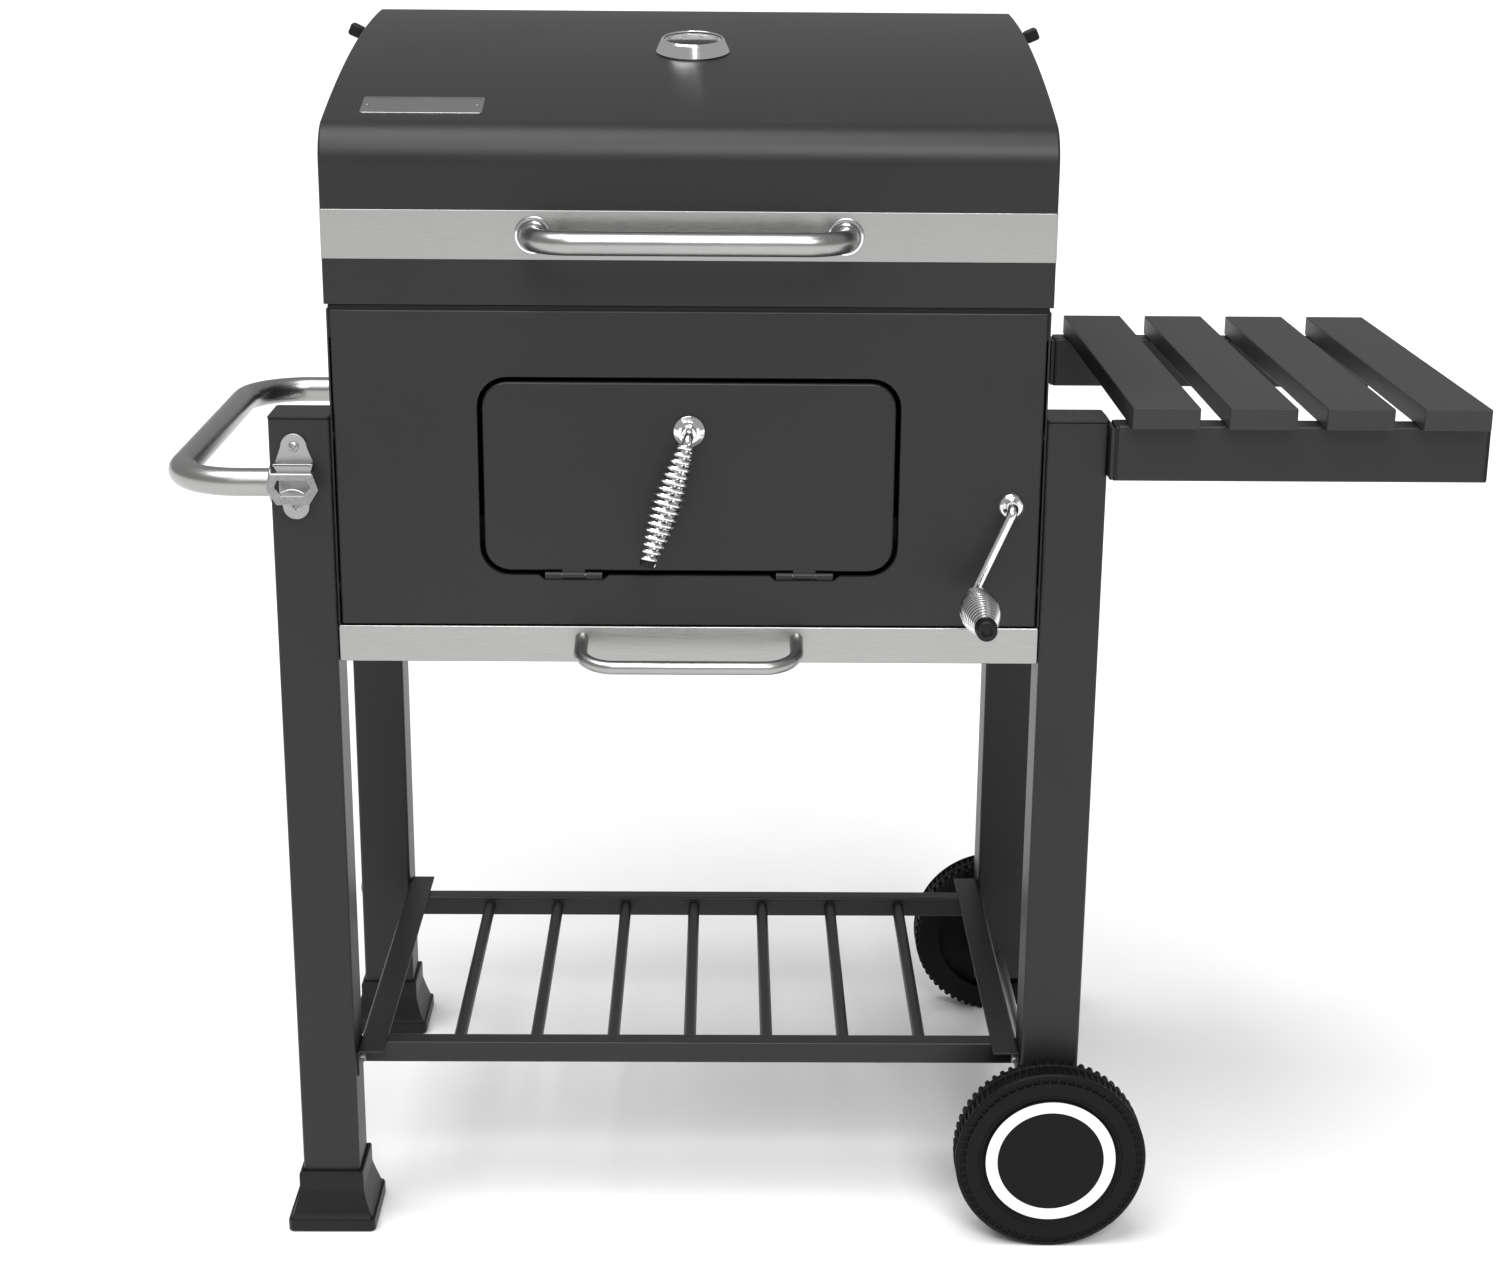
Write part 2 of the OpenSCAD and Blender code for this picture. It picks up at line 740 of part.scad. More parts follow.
opener_x = -leg_out_x + 22;
opener_z = 729;
opener_h = 77;
opener_t = 2.5;
module bottle_opener() {
    y = front_leg_y;
    color(chrome) placed() translate([opener_x, 0, opener_z]) difference() {
        union() {
            // top ear, bottom ear and the back strip between them
            deep(y - opener_t, y) union() {
                translate([0, opener_h / 2 - 12]) circle(12);
                translate([-12, 12]) square([24, opener_h / 2 - 24]);
                translate([-16, -10]) square([32, 23]);
                translate([-12, -opener_h / 2 + 12]) square([24, 20]);
                translate([0, -opener_h / 2 + 12]) circle(12);
            }
            // shoulder and hooked mouth that stand out from the strip
            block([-18, y - 13, 12], [18, y - opener_t, 15]);
            block([-20, y - 17, 2], [19, y - opener_t, 5]);
            deep(y - 17, y - 14) difference() {
                polygon([[-20, 5], [19, 5], [23, -9], [16, -20], [-12, -20], [-21, -9]]);
                translate([0, -5]) square([22, 14], center = true);
            }
            block([-12, y - 17, -20], [16, y - opener_t, -17]);
        }
        for (s = [-1, 1]) {
            pin_y(0, s * (opener_h / 2 - 12), y - opener_t - 1, y + 1, 2.2);
        }
    }
}

module opener_screw(z) {
    pin_y(opener_x, z, front_leg_y - opener_t - 3, front_leg_y - opener_t, 4.5);
    pin_y(opener_x, z, front_leg_y - opener_t - 1, front_leg_y, 2);
}

// Bolt through a leg from the outside, with its nut inside; s is the side
module leg_bolt(s, y, z, inner) {
    mirror([s < 0 ? 1 : 0, 0, 0]) {
        pin_x(y, z, leg_out_x, leg_out_x + 4, 7);
        pin_x(y, z, inner - 4, leg_out_x + 1, bolt_r);
        pin_x(y, z, inner - 4, inner, 6);
    }
}

module cart_bolts() {
    color(steel) placed() {
        for (s = [-1, 1], y = [front_bolt_y, back_bolt_y]) {
            for (z = bolt_levels) {
                leg_bolt(s, y, z, side_x - sheet);
            }
            leg_bolt(s, y, low_bolt_z, leg_in_x - angle_t);
        }
        for (s = [-1, 1]) {
            opener_screw(opener_z + s * (opener_h / 2 - 12));
        }
    }
}

// ---- Side shelf ----
module shelf_brackets() {
    color(paint) placed() for (y = [front_rail_y, back_rail_y]) {
        leg_y = y < firebox_d / 2 ? front_leg_y : back_leg_y;
        difference() {
            block([leg_out_x, min(y, leg_y) + 1, rail_z + 1],
                  [leg_out_x + bracket_t, max(y + rail_t, leg_y + leg_d) - 1, leg_top - 1]);
            for (z = bolt_levels, by = [front_bolt_y, back_bolt_y]) {
                pin_x(by, z, leg_out_x - 1, leg_out_x + bracket_t + 1, 7.5);
            }
        }
    }
}

rail_wall = 1.5;
module shelf_rails() {
    color(paint) placed() for (y = [front_rail_y, back_rail_y]) {
        difference() {
            block([rail_in_x, y, rail_z], [rail_out_x, y + rail_t, rail_z + rail_h]);
            block([rail_in_x - 1, y + rail_wall, rail_z + rail_wall],
                  [rail_out_x + 1, y + rail_t - rail_wall, rail_z + rail_h - rail_wall]);
        }
    }
}

module shelf_rail_caps() {
    inner = rail_wall + slide_gap;
    color(black) placed() for (y = [front_rail_y, back_rail_y]) {
        block([rail_in_x - cap_t, y, rail_z], [rail_in_x, y + rail_t, rail_z + rail_h]);
        block([rail_in_x, y + inner, rail_z + inner], [rail_in_x + 10, y + rail_t - inner, rail_z + rail_h - inner]);
        block([rail_out_x, y, rail_z], [shelf_out_x, y + rail_t, rail_z + rail_h]);
        block([rail_out_x - 10, y + inner, rail_z + inner],
              [rail_out_x, y + rail_t - inner, rail_z + rail_h - inner]);
    }
}

module shelf_slats() {
    color(paint) placed() for (i = [0 : slat_count - 1]) {
        x = slat_x + i * slat_pitch;
        block([x, slat_y, shelf_top - slat_t], [x + slat_w, slat_y + slat_l, shelf_top]);
    }
}

// ---- Bottom shelf ----
module low_shelf_sides() {
    color(paint) placed() for (s = [0, 1]) {
        mirror([s, 0, 0]) difference() {
            block([leg_in_x - angle_w, 5, low_shelf_top - angle_w], [leg_in_x, firebox_d - 15, low_shelf_top]);
            block([leg_in_x - angle_w - 1, 4, low_shelf_top - angle_w - 1],
                  [leg_in_x - angle_t, firebox_d - 14, low_shelf_top - angle_t]);
            leg_bolt_holes();
        }
    }
}

low_rail_top = low_shelf_top - angle_t;
module low_shelf_rails() {
    x = leg_in_x - angle_t;
    color(paint) placed() for (y = [low_front_y, low_back_y]) {
        difference() {
            block([-x, y, low_rail_top - low_rail_h], [x, y + low_rail_t, low_rail_top]);
            block([-x - 1, y + 1.5, low_rail_top - low_rail_h + 1.5], [x + 1, y + low_rail_t - 1.5, low_rail_top - 1.5]);
            for (by = [front_bolt_y, back_bolt_y]) {
                pin_x(by, low_bolt_z, -x - 1, -x + 12, 9);
                pin_x(by, low_bolt_z, x - 12, x + 1, 9);
            }
        }
    }
}

module low_shelf_bars() {
    color(paint) placed() for (i = [0 : low_bar_count - 1]) {
        x = (i - (low_bar_count - 1) / 2) * low_bar_pitch;
        pin_y(x, low_rail_top - low_rail_h / 2, low_front_y + low_rail_t, low_back_y, low_bar_dia / 2);
    }
}

// ---- Axle and wheels ----
module axle() {
    color(steel) placed() pin_y(axle_x, wheel_r, front_wheel_y - hub_l - 2, rear_wheel_y + hub_l + 2, axle_r);
}

module axle_nuts() {
    color(steel) placed() {
        for (y = [front_wheel_y - hub_l - slide_gap - nut_t, rear_wheel_y + hub_l + slide_gap]) {
            difference() {
                pin_y(axle_x, wheel_r, y, y + nut_t, axle_r + 4);
                pin_y(axle_x, wheel_r, y - 1, y + nut_t + 1, axle_r + fit_gap);
            }
        }
        for (y = [front_wheel_y + slide_gap, back_leg_end]) {
            difference() {
                pin_y(axle_x, wheel_r, y, y + wheel_gap - slide_gap, axle_r + 5);
                pin_y(axle_x, wheel_r, y - 1, y + wheel_gap + 1, axle_r + fit_gap);
            }
        }
    }
}

// Wheel along +Z: its inner face at zero, its hub cap in the outer face
module wheel() {
    rim = wheel_r - 27;
    rotate_extrude() polygon([
        [axle_r + fit_gap, 0], [hub_r, 0], [hub_r, 12], [rim + 3, 12], [rim + 3, 2], [rim + 6, 0],
        [wheel_r - 5, 0], [wheel_r - 1.5, 1.5], [wheel_r, 5], [wheel_r, wheel_w - 5],
        [wheel_r - 1.5, wheel_w - 1.5], [wheel_r - 5, wheel_w], [cap_disc_r + 0.5, wheel_w],
        [cap_disc_r + 0.5, wheel_w - 6], [rim - 3, wheel_w - 6], [rim - 3, 16], [hub_r, 16], [hub_r, hub_l],
        [axle_r + fit_gap, hub_l]]);
    rotate_extrude() polygon([
        [0, wheel_w - 2.5], [hub_r + 0.5, wheel_w - 2.5], [hub_r + 0.5, 20], [hub_r + 2.5, 20],
        [hub_r + 2.5, wheel_w - 2.5], [cap_disc_r, wheel_w - 2.5], [cap_disc_r, wheel_w - 0.6],
        [cap_disc_r - 1, wheel_w], [0, wheel_w]]);
}

module front_wheel() {
    color(black) placed() translate([axle_x, front_wheel_y, wheel_r]) rotate([90, 0, 0]) wheel();
}

module rear_wheel() {
    color(black) placed() translate([axle_x, rear_wheel_y, wheel_r]) rotate([-90, 0, 0]) wheel();
}

// ---- Lid ----
module lid_shell() {
    color(paint) placed() difference() {
        across(-lid_x + sheet, lid_x - sheet) difference() {
            polygon(lid_outline(0, lid_z));
            polygon(lid_outline(sheet, lid_z - 1));
        }
        on_crown(0, thermometer_y, -10) cylinder(h = 20, r = stem_r + 0.5);
    }
}

module vent_holes(x0, x1) {
    for (i = [0 : 2]) {
        a = 30 + 120 * i;
        pin_x(vent_y + vent_hole_ring * cos(a), vent_z + vent_hole_ring * sin(a), x0, x1, vent_hole_r);
    }
    pin_x(vent_y, vent_z, x0, x1, rivet_r + fit_gap);
}

module lid_sides() {
    color(paint) placed() for (x = [-lid_x, lid_x - sheet]) {
        difference() {
            across(x, x + sheet) polygon(lid_outline(0, lid_z));
            vent_holes(x - 1, x + sheet + 1);
        }
    }
}

// Steel band: a strip across the front with turned ends on both sides
module lid_band() {
    low = band_z - band_h / 2;
    color(steel) placed() difference() {
        block([-lid_x - band_t, -band_t, low], [lid_x + band_t, band_return, low + band_h]);
        block([-lid_x, 0, low - 1], [lid_x, band_return + 1, low + band_h + 1]);
    }
}

handle_wall = 1.5;
module lid_handle() {
    color(steel) placed() translate([0, -band_t, band_z])
        bow_tube(lid_handle_span, lid_handle_reach - band_t, 34, lid_handle_dia / 2, handle_wall);
}

module lid_handle_rings() {
    r = lid_handle_dia / 2;
    color(chrome) placed() for (s = [-1, 1]) {
        translate([s * lid_handle_span / 2, -band_t, band_z]) rotate([90, 0, 0]) rotate_extrude()
            polygon([[r + fit_gap, 0], [r + 6, 0], [r + 5, 3], [r + 2, 5.5], [r + fit_gap, 6]]);
    }
}

module on_crown(x, y, lift) {
    translate([x, y, crown_height(y)]) rotate([-crown_tilt(y), 0, 0]) translate([0, 0, lift]) children();
}

module name_plate() {
    color(steel) placed() on_crown(plate_x, plate_y, 0.15) difference() {
        translate([-plate_w / 2, -plate_h / 2, 0]) cube([plate_w, plate_h, plate_t]);
        for (s = [-1, 1]) {
            translate([s * (plate_w / 2 - 5), 0, -1]) cylinder(h = 3, r = 1.2);
        }
    }
}

module thermometer_case() {
    r = thermometer_r;
    color(chrome) placed() on_crown(0, thermometer_y, thermometer_lift) {
        rotate_extrude() polygon([
            [0, -stem_l], [2.5, -stem_l], [stem_r, -stem_l + 4], [stem_r, 0], [r - 1, 0], [r, 1.5],
            [dial_r + 1.5, thermometer_h], [dial_r + 0.2, thermometer_h], [dial_r + 0.2, 4], [0, 4]]);
        difference() {
            translate([0, 0, -12]) cylinder(h = 6, r = 8, $fn = 6);
            translate([0, 0, -13]) cylinder(h = 8, r = stem_r + fit_gap);
        }
    }
}

module thermometer_dial() {
    color("white") placed() on_crown(0, thermometer_y, thermometer_lift + 4) difference() {
        cylinder(h = 1, r = dial_r);
        translate([0, 0, -1]) cylinder(h = 3, r = 1.2);
    }
}

module thermometer_needle() {
    color("red") placed() on_crown(0, thermometer_y, thermometer_lift + 4) {
        translate([0, 0, 0.5]) cylinder(h = 1.5, r = 1.1);
        translate([-0.6, -dial_r * 0.35, 1.6]) cube([1.2, dial_r * 1.1, 0.5]);
        translate([0, -dial_r * 0.3, 1.6]) cylinder(h = 0.5, r = 2.2);
    }
}

module thermometer_glass() {
    color([0.8, 0.9, 1, 0.4]) placed() on_crown(0, thermometer_y, thermometer_lift)
        translate([0, 0, thermometer_h - 3]) cylinder(h = 2, r = dial_r);
}

vent_x = lid_x + slide_gap;
module vent_disc(s) {
    mirror([s < 0 ? 1 : 0, 0, 0]) difference() {
        pin_x(vent_y, vent_z, vent_x, vent_x + vent_t, vent_r);
        vent_holes(vent_x - 1, vent_x + vent_t + 1);
    }
}

module left_vent() {
    color(paint) placed() vent_disc(-1);
}

module right_vent() {
    color(paint) placed() vent_disc(1);
}

knob_w = 15;
knob_l = 17;
module vent_knob(s) {
    mirror([s < 0 ? 1 : 0, 0, 0]) {
        block([vent_x + vent_t, vent_y - knob_w / 2, vent_z + vent_knob_ring - 6],
              [vent_x + vent_t + knob_l, vent_y + knob_w / 2, vent_z + vent_knob_ring + 6]);
    }
}

module left_vent_knob() {
    color(black) placed() vent_knob(-1);
}

module right_vent_knob() {
    color(black) placed() vent_knob(1);
}

// Rivets: the vents turn on two of them, the rest hold the band and the name plate
module rivet_x(s, y, z, shank_from, face, r) {
    mirror([s < 0 ? 1 : 0, 0, 0]) {
        pin_x(y, z, shank_from, face, r);
        pin_x(y, z, face, face + 1.6, r * 2);
    }
}

module lid_rivets() {
    color(steel) placed() for (s = [-1, 1]) {
        rivet_x(s, vent_y, vent_z, lid_x - sheet - 2, vent_x + vent_t + slide_gap, rivet_r);
        mirror([s < 0 ? 1 : 0, 0, 0]) pin_x(vent_y, vent_z, lid_x - sheet - 3, lid_x - sheet, rivet_r + 2);
        for (z = [band_z - 14, band_z + 14]) {
            mirror([s < 0 ? 1 : 0, 0, 0]) pin_x(band_return - 12, z, lid_x + band_t, lid_x + band_t + 2, 4);
        }
        on_crown(plate_x + s * (plate_w / 2 - 5), plate_y, plate_t + 0.15) cylinder(h = 1, r = 2);
    }
}

// ---- Door ----
module door_panel() {
    color(paint) placed() {
        difference() {
            deep(0, sheet) translate([0, door_z]) round_rect(door_w, door_h, door_corner_r);
            pin_y(0, handle_z, -1, sheet + 1, handle_rod_r + fit_gap);
        }
        for (s = [-1, 1]) {
            translate([s * door_hinge_span / 2, 0, 0]) difference() {
                union() {
                    block([-door_knuckle / 2, sheet, door_axis_z],
                          [door_knuckle / 2, sheet + door_leaf_t, door_axis_z + door_leaf_h]);
                    pin_x(door_axis_y, door_axis_z, -door_knuckle / 2, door_knuckle / 2, door_barrel_r);
                }
                pin_x(door_axis_y, door_axis_z, -door_knuckle, door_knuckle, door_pin_r + fit_gap);
            }
        }
    }
}

module door_ring() {
    color(chrome) placed() translate([0, 0, handle_z]) rotate([90, 0, 0]) rotate_extrude()
        polygon([[handle_rod_r + fit_gap, 0], [ring_r, 0], [ring_r - 1, 3], [ring_r - 4, 6],
                 [handle_rod_r + 2, 8], [handle_rod_r + fit_gap, 8]]);
}

// The grip's own frame: its start at the rod's bend, +Z along the grip
module on_door_grip() {
    translate([0, -handle_out, handle_z]) rotate([0, 180 + grip_lean, 0])
        rotate([grip_out, 0, 0]) children();
}

module door_handle_rod() {
    color(chrome) placed() {
        pin_y(0, handle_z, -handle_out, sheet + 6, handle_rod_r);
        translate([0, -handle_out, handle_z]) sphere(handle_rod_r + bend_bulge);
        on_door_grip() cylinder(h = grip_top_drop + door_grip_l, r = handle_rod_r);
    }
}

module door_grip() {
    color(chrome) placed() on_door_grip() translate([0, 0, grip_top_drop])
        wire_grip(door_grip_l, door_grip_end_r, door_grip_r, handle_rod_r + slide_gap, door_grip_turns,
                  grip_wire_t);
    color(black) placed() on_door_grip() translate([0, 0, grip_top_drop + door_grip_l])
        cylinder(h = door_cap_l, r1 = 7.5, r2 = 6.5);
}

module door_latch() {
    color(steel) placed() translate([0, 0, handle_z]) rotate([0, -latch_swing, 0]) difference() {
        union() {
            pin_y(0, 0, sheet + 0.8, sheet + 5, 9);
            block([-7, sheet + 0.8, 0], [7, sheet + 2.8, latch_l]);
        }
        pin_y(0, 0, -1, sheet + 8, handle_rod_r + fit_gap);
    }
}

// ---- Crank, tray and lift ----
module crank_rod() {
    bend = [crank_x, -crank_out, crank_z];
    end = [arm_end_x, -crank_out, arm_end_z];
    color(chrome) placed() {
        pin_y(crank_x, crank_z, -crank_out, firebox_d - sheet - 3, shaft_r);
        translate(bend) sphere(shaft_r + bend_bulge);
        rod(bend, end, arm_r);
        translate(end) sphere(arm_r + bend_bulge);
        pin_y(arm_end_x, arm_end_z, -crank_grip_start - crank_grip_l, -crank_out, arm_r);
    }
}

module crank_grip() {
    translate_end = [arm_end_x, -crank_grip_start, arm_end_z];
    color(chrome) placed() translate(translate_end) rotate([90, 0, 0])
        wire_grip(crank_grip_l, crank_grip_end_r, crank_grip_r, arm_r + slide_gap, crank_grip_turns,
                  grip_wire_t);
    color(black) placed() translate(translate_end) rotate([90, 0, 0]) translate([0, 0, crank_grip_l])
        cylinder(h = crank_cap_l, r1 = 9.5, r2 = 8.5);
}

// Involute tooth flanks, measured as angles from the tooth's middle
function involute(a) = tan(a) * 180 / PI - a;
tooth_half = 90 / pinion_teeth - backlash / 4 / pitch_r * 180 / PI;
function flank(r) = tooth_half + involute(pressure_angle) - involute(acos(min(1, base_r / r)));
function tooth_points(i, dir) = let (middle = 180 + (i + 0.5) * 360 / pinion_teeth)
    [for (k = [0 : 5]) let (q = dir < 0 ? k : 5 - k, r = pinion_root_r + (pinion_tip_r - pinion_root_r) * q / 5)
        [r * cos(middle + dir * flank(r)), r * sin(middle + dir * flank(r))]];

module lift_pinions() {
    color(steel) placed() for (y = rack_y) {
        translate([crank_x, 0, crank_z]) difference() {
            deep(y, y + gear_t)
                polygon([for (i = [0 : pinion_teeth - 1], dir = [-1, 1]) each tooth_points(i, dir)]);
            pin_y(0, 0, y - 1, y + gear_t + 1, shaft_r + fit_gap);
        }
    }
}

rack_half = tooth_pitch / 4 - backlash / 4;
rack_first = -ceil((tray_lift + 2 * gear_module) / tooth_pitch);
rack_last = 2;
module lift_racks() {
    slope = tan(pressure_angle);
    root = rack_half + rack_root * slope;
    tip = rack_half - rack_tip * slope;
    teeth = [for (i = [rack_first : rack_last]) let (z = crank_z + i * tooth_pitch)
        each [[rack_x - rack_root, z - root], [rack_x + rack_tip, z - tip],
              [rack_x + rack_tip, z + tip], [rack_x - rack_root, z + root]]];
    low = crank_z + (rack_first - 0.5) * tooth_pitch;
    high = crank_z + (rack_last + 0.5) * tooth_pitch;
    color(steel) placed() for (y = rack_y) {
        deep(y, y + gear_t)
            polygon(concat([[tray_x, low], [rack_x - rack_root, low]], teeth,
                           [[rack_x - rack_root, high], [tray_x, high]]));
    }
}

coal_grate_rise = 22;
coal_grate_r = 3;
coal_grate_x = tray_x - tray_t - 5;
coal_grate_y = [tray_front + tray_t + 5, tray_back - tray_t - 5];
coal_grate_z = tray_z + tray_t + coal_grate_rise;
module charcoal_tray() {
    color(paint) placed() {
        difference() {
            block([-tray_x, tray_front, tray_z], [tray_x, tray_back, tray_z + tray_h]);
            block([-tray_x + tray_t, tray_front + tray_t, tray_z + tray_t],
                  [tray_x - tray_t, tray_back - tray_t, tray_z + tray_h + 1]);
            for (x = [-3 : 3], y = [-2 : 2]) {
                translate([x * tray_x / 4, firebox_d / 2 + y * firebox_d / 6.5, tray_z - 1])
                    cylinder(h = tray_t + 2, r = 6);
            }
        }
        for (x = [-coal_grate_x, coal_grate_x], y = coal_grate_y) {
            translate([x, y, tray_z]) cylinder(h = coal_grate_z - coal_grate_r - tray_z, r = coal_grate_r);
        }
        for (x = [-guide_x, guide_x]) {
            block([x - ear_w / 2, sheet + 3, guide_low + 12],
                  [x + ear_w / 2, tray_front, guide_low + 12 + ear_h]);
            block([x - ear_w / 2, tray_back, guide_low + 12],
                  [x + ear_w / 2, firebox_d - sheet - 3, guide_low + 12 + ear_h]);
        }
    }
}

module charcoal_grate() {
    color(steel) placed() wire_grate(-coal_grate_x, coal_grate_x, coal_grate_y[0], coal_grate_y[1],
        coal_grate_z, coal_grate_r, 2.5, 25);
}

// ---- Ash drawer ----
module ash_drawer() {
    back = drawer_skin / 2;
    tray_high = drawer_top - 6;
    color(steel) placed() {
        block([-side_x, -drawer_skin / 2, drawer_bottom], [side_x, back, drawer_top]);
        block([-side_x + 4, back, drawer_bottom], [side_x - 4, 10, drawer_bottom + drawer_skin]);
        block([-side_x + 4, back, drawer_top - drawer_skin], [side_x - 4, 10, drawer_top]);
        difference() {
            block([-drawer_tray_x, back, tray_floor_z], [drawer_tray_x, drawer_tray_l, tray_high]);
            block([-drawer_tray_x + 1, back + 1, tray_floor_z + 1],
                  [drawer_tray_x - 1, drawer_tray_l - 1, tray_high + 1]);
        }
    }
}

module drawer_handle() {
    foot_z = (drawer_top + drawer_bottom) / 2 + 5;
    color(steel) placed() translate([0, -drawer_skin / 2, foot_z]) rotate([drawer_droop, 0, 0])
        difference() {
            bow_tube(drawer_handle_span, drawer_handle_reach, 30, drawer_handle_dia / 2, 1.5);
            rotate([-drawer_droop, 0, 0]) translate([-firebox_w / 2, 0, -20]) cube([firebox_w, 20, 40]);
        }
}

left_legs();
right_legs();
leg_caps();
left_feet();
front_panel();
back_panel();
side_panels();
firebox_rim();
cooking_grates();
warming_rack();
warming_rack_legs();
drawer_runners();
lift_guides();
crank_bushings();
door_hinge_brackets();
lid_hinge_brackets();
hinge_pins();
side_handle();
bottle_opener();
cart_bolts();
shelf_brackets();
shelf_rails();
shelf_rail_caps();
shelf_slats();
low_shelf_sides();
low_shelf_rails();
low_shelf_bars();
axle();
axle_nuts();
lid_shell();
lid_sides();
lid_band();
lid_handle();
lid_handle_rings();
lid_hinge_leaves();
lid_rivets();
name_plate();
thermometer_case();
thermometer_dial();
thermometer_glass();
thermometer_needle();
left_vent();
right_vent();
left_vent_knob();
right_vent_knob();
door_panel();
door_ring();
door_handle_rod();
door_grip();
door_latch();
crank_rod();
crank_grip();
lift_pinions();
charcoal_tray();
charcoal_grate();
lift_racks();
ash_drawer();
drawer_handle();
front_wheel();
rear_wheel();
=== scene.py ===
import json
import math
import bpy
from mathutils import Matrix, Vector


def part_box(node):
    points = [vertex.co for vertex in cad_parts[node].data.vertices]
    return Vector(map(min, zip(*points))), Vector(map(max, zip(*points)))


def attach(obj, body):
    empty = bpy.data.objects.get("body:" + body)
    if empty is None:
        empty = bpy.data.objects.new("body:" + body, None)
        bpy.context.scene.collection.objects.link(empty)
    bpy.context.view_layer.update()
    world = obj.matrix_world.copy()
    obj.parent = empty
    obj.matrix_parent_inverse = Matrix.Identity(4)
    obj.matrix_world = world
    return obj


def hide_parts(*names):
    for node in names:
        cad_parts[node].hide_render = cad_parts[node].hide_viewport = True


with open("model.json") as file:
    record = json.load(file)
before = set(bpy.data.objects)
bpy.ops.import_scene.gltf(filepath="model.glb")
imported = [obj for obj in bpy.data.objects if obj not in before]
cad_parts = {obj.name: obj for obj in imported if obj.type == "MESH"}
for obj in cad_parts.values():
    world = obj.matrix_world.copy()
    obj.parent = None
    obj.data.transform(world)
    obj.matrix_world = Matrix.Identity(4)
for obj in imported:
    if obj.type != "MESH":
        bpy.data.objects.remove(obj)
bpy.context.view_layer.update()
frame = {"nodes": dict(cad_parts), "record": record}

from types import SimpleNamespace

import bmesh
import bpy
import numpy as np
from bpy.props import FloatProperty, FloatVectorProperty, PointerProperty
from bpy.types import Operator, Panel, PropertyGroup
from mathutils import Matrix, Vector

bl_info = {
    "name": "Trolley Charcoal Grill",
    "version": (1, 0, 0),
    "blender": (4, 5, 0),
    "location": "View3D > Sidebar > Grill",
    "description": "Builds the finished surfaces of a trolley charcoal grill round its CAD frame",
    "category": "Add Mesh",
}

# Pieces are worked out in millimetres from the bench point: the floor under the middle of the
# firebox's front. MM turns them to metres and BENCH puts them where the CAD frame is.
MM = 0.001
panel_low, panel_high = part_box("front_panel")
BENCH = np.array([(panel_low.x + panel_high.x) / 2, panel_low.y, 0.0])
X, Y, Z = np.eye(3)
WELD = 1e-6  # metres within which neighbouring points become one
CREASE = math.radians(36)  # edges sharper than this stay sharp in shading
FINEST = 0.05  # smallest corner radius that a stacked outline keeps
EDGE_POINTS = 5  # points along each rounded edge
WIRE_STEPS, WIRE_SIDES = 24, 8  # points to a turn of a wound wire, and round the wire


def span(node):
    """Lowest and highest corner of a CAD node, in millimetres from the bench point."""
    low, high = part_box(node)
    return (np.array(low) - BENCH) / MM, (np.array(high) - BENCH) / MM


# ---- Sizes and colours ----
def length(name, description, default_mm):
    """A size for the sidebar, given in millimetres and kept in metres."""
    return FloatProperty(name=name, description=description, default=default_mm * MM, min=0.0, unit="LENGTH",
                         precision=4)


def colour(name, description, default):
    """A colour for the sidebar, as linear red, green and blue."""
    return FloatVectorProperty(name=name, description=description, default=default, subtype="COLOR", size=3,
                               min=0.0, max=1.0)


class GrillSizes(PropertyGroup):
    """Sizes of the grill's surfaces"""
    sheet: length("Sheet", "Thickness of the firebox and lid sheet", 1.5)
    lid_front: length("Lid front", "Height of the lid's straight front", 117.5)
    lid_bend: length("Lid bend", "Radius of the bend above the lid's front", 35.7)
    lid_crown: length("Lid crown", "Radius of the lid's crown", 1800.0)
    lid_back_bend: length("Lid back bend", "Radius of the bend at the lid's back", 20.0)
    lid_handle_span: length("Lid handle span", "Distance between the lid handle's feet", 264.0)
    lid_handle_r: length("Lid handle radius", "Radius of the lid handle's tube", 10.0)
    door_w: length("Door width", "Width of the charcoal door", 358.0)
    door_h: length("Door height", "Height of the charcoal door", 168.0)
    door_corner: length("Door corner", "Corner radius of the charcoal door", 22.0)
    door_gap: length("Door gap", "Gap round the charcoal door", 4.0)
    hinge_span: length("Door hinge span", "Distance between the door's hinges", 203.0)
    hinge_l: length("Door hinge length", "Length of a door hinge", 50.0)
    leg_d: length("Leg depth", "Depth of a leg", 50.0)
    leg_corner: length("Leg corner", "Corner radius of a leg's tube", 3.0)
    foot_w: length("Foot width", "Width of a foot at the floor", 82.0)
    slat_w: length("Slat width", "Width of a side shelf slat", 58.2)
    slat_pitch: length("Slat pitch", "Distance from one slat to the next", 83.1)
    rail_t: length("Rail thickness", "Thickness of a side shelf rail", 28.0)
    low_rail_t: length("Low rail thickness", "Thickness of a bottom shelf rail", 18.5)
    angle_w: length("Angle width", "Width of the bottom shelf's side angles", 25.0)
    bar_pitch: length("Bar pitch", "Distance from one bottom shelf bar to the next", 73.3)
    bar_r: length("Bar radius", "Radius of a bottom shelf bar", 6.0)
    side_tube_r: length("Side handle radius", "Radius of the side handle's tube", 12.5)
    side_bend: length("Side handle bend", "Bend radius of the side handle", 60.0)
    drawer_span: length("Drawer handle span", "Distance between the drawer handle's feet", 190.0)
    drawer_bar_r: length("Drawer handle radius", "Radius of the drawer handle's bar", 6.0)
    wire_r: length("Grip wire radius", "Radius of the wire in the sprung grips", 1.9)
    cap_ring_in: length("Ring inside", "Inside radius of the wheel's white ring", 49.4)
    cap_ring_out: length("Ring outside", "Outside radius of the wheel's white ring", 60.5)


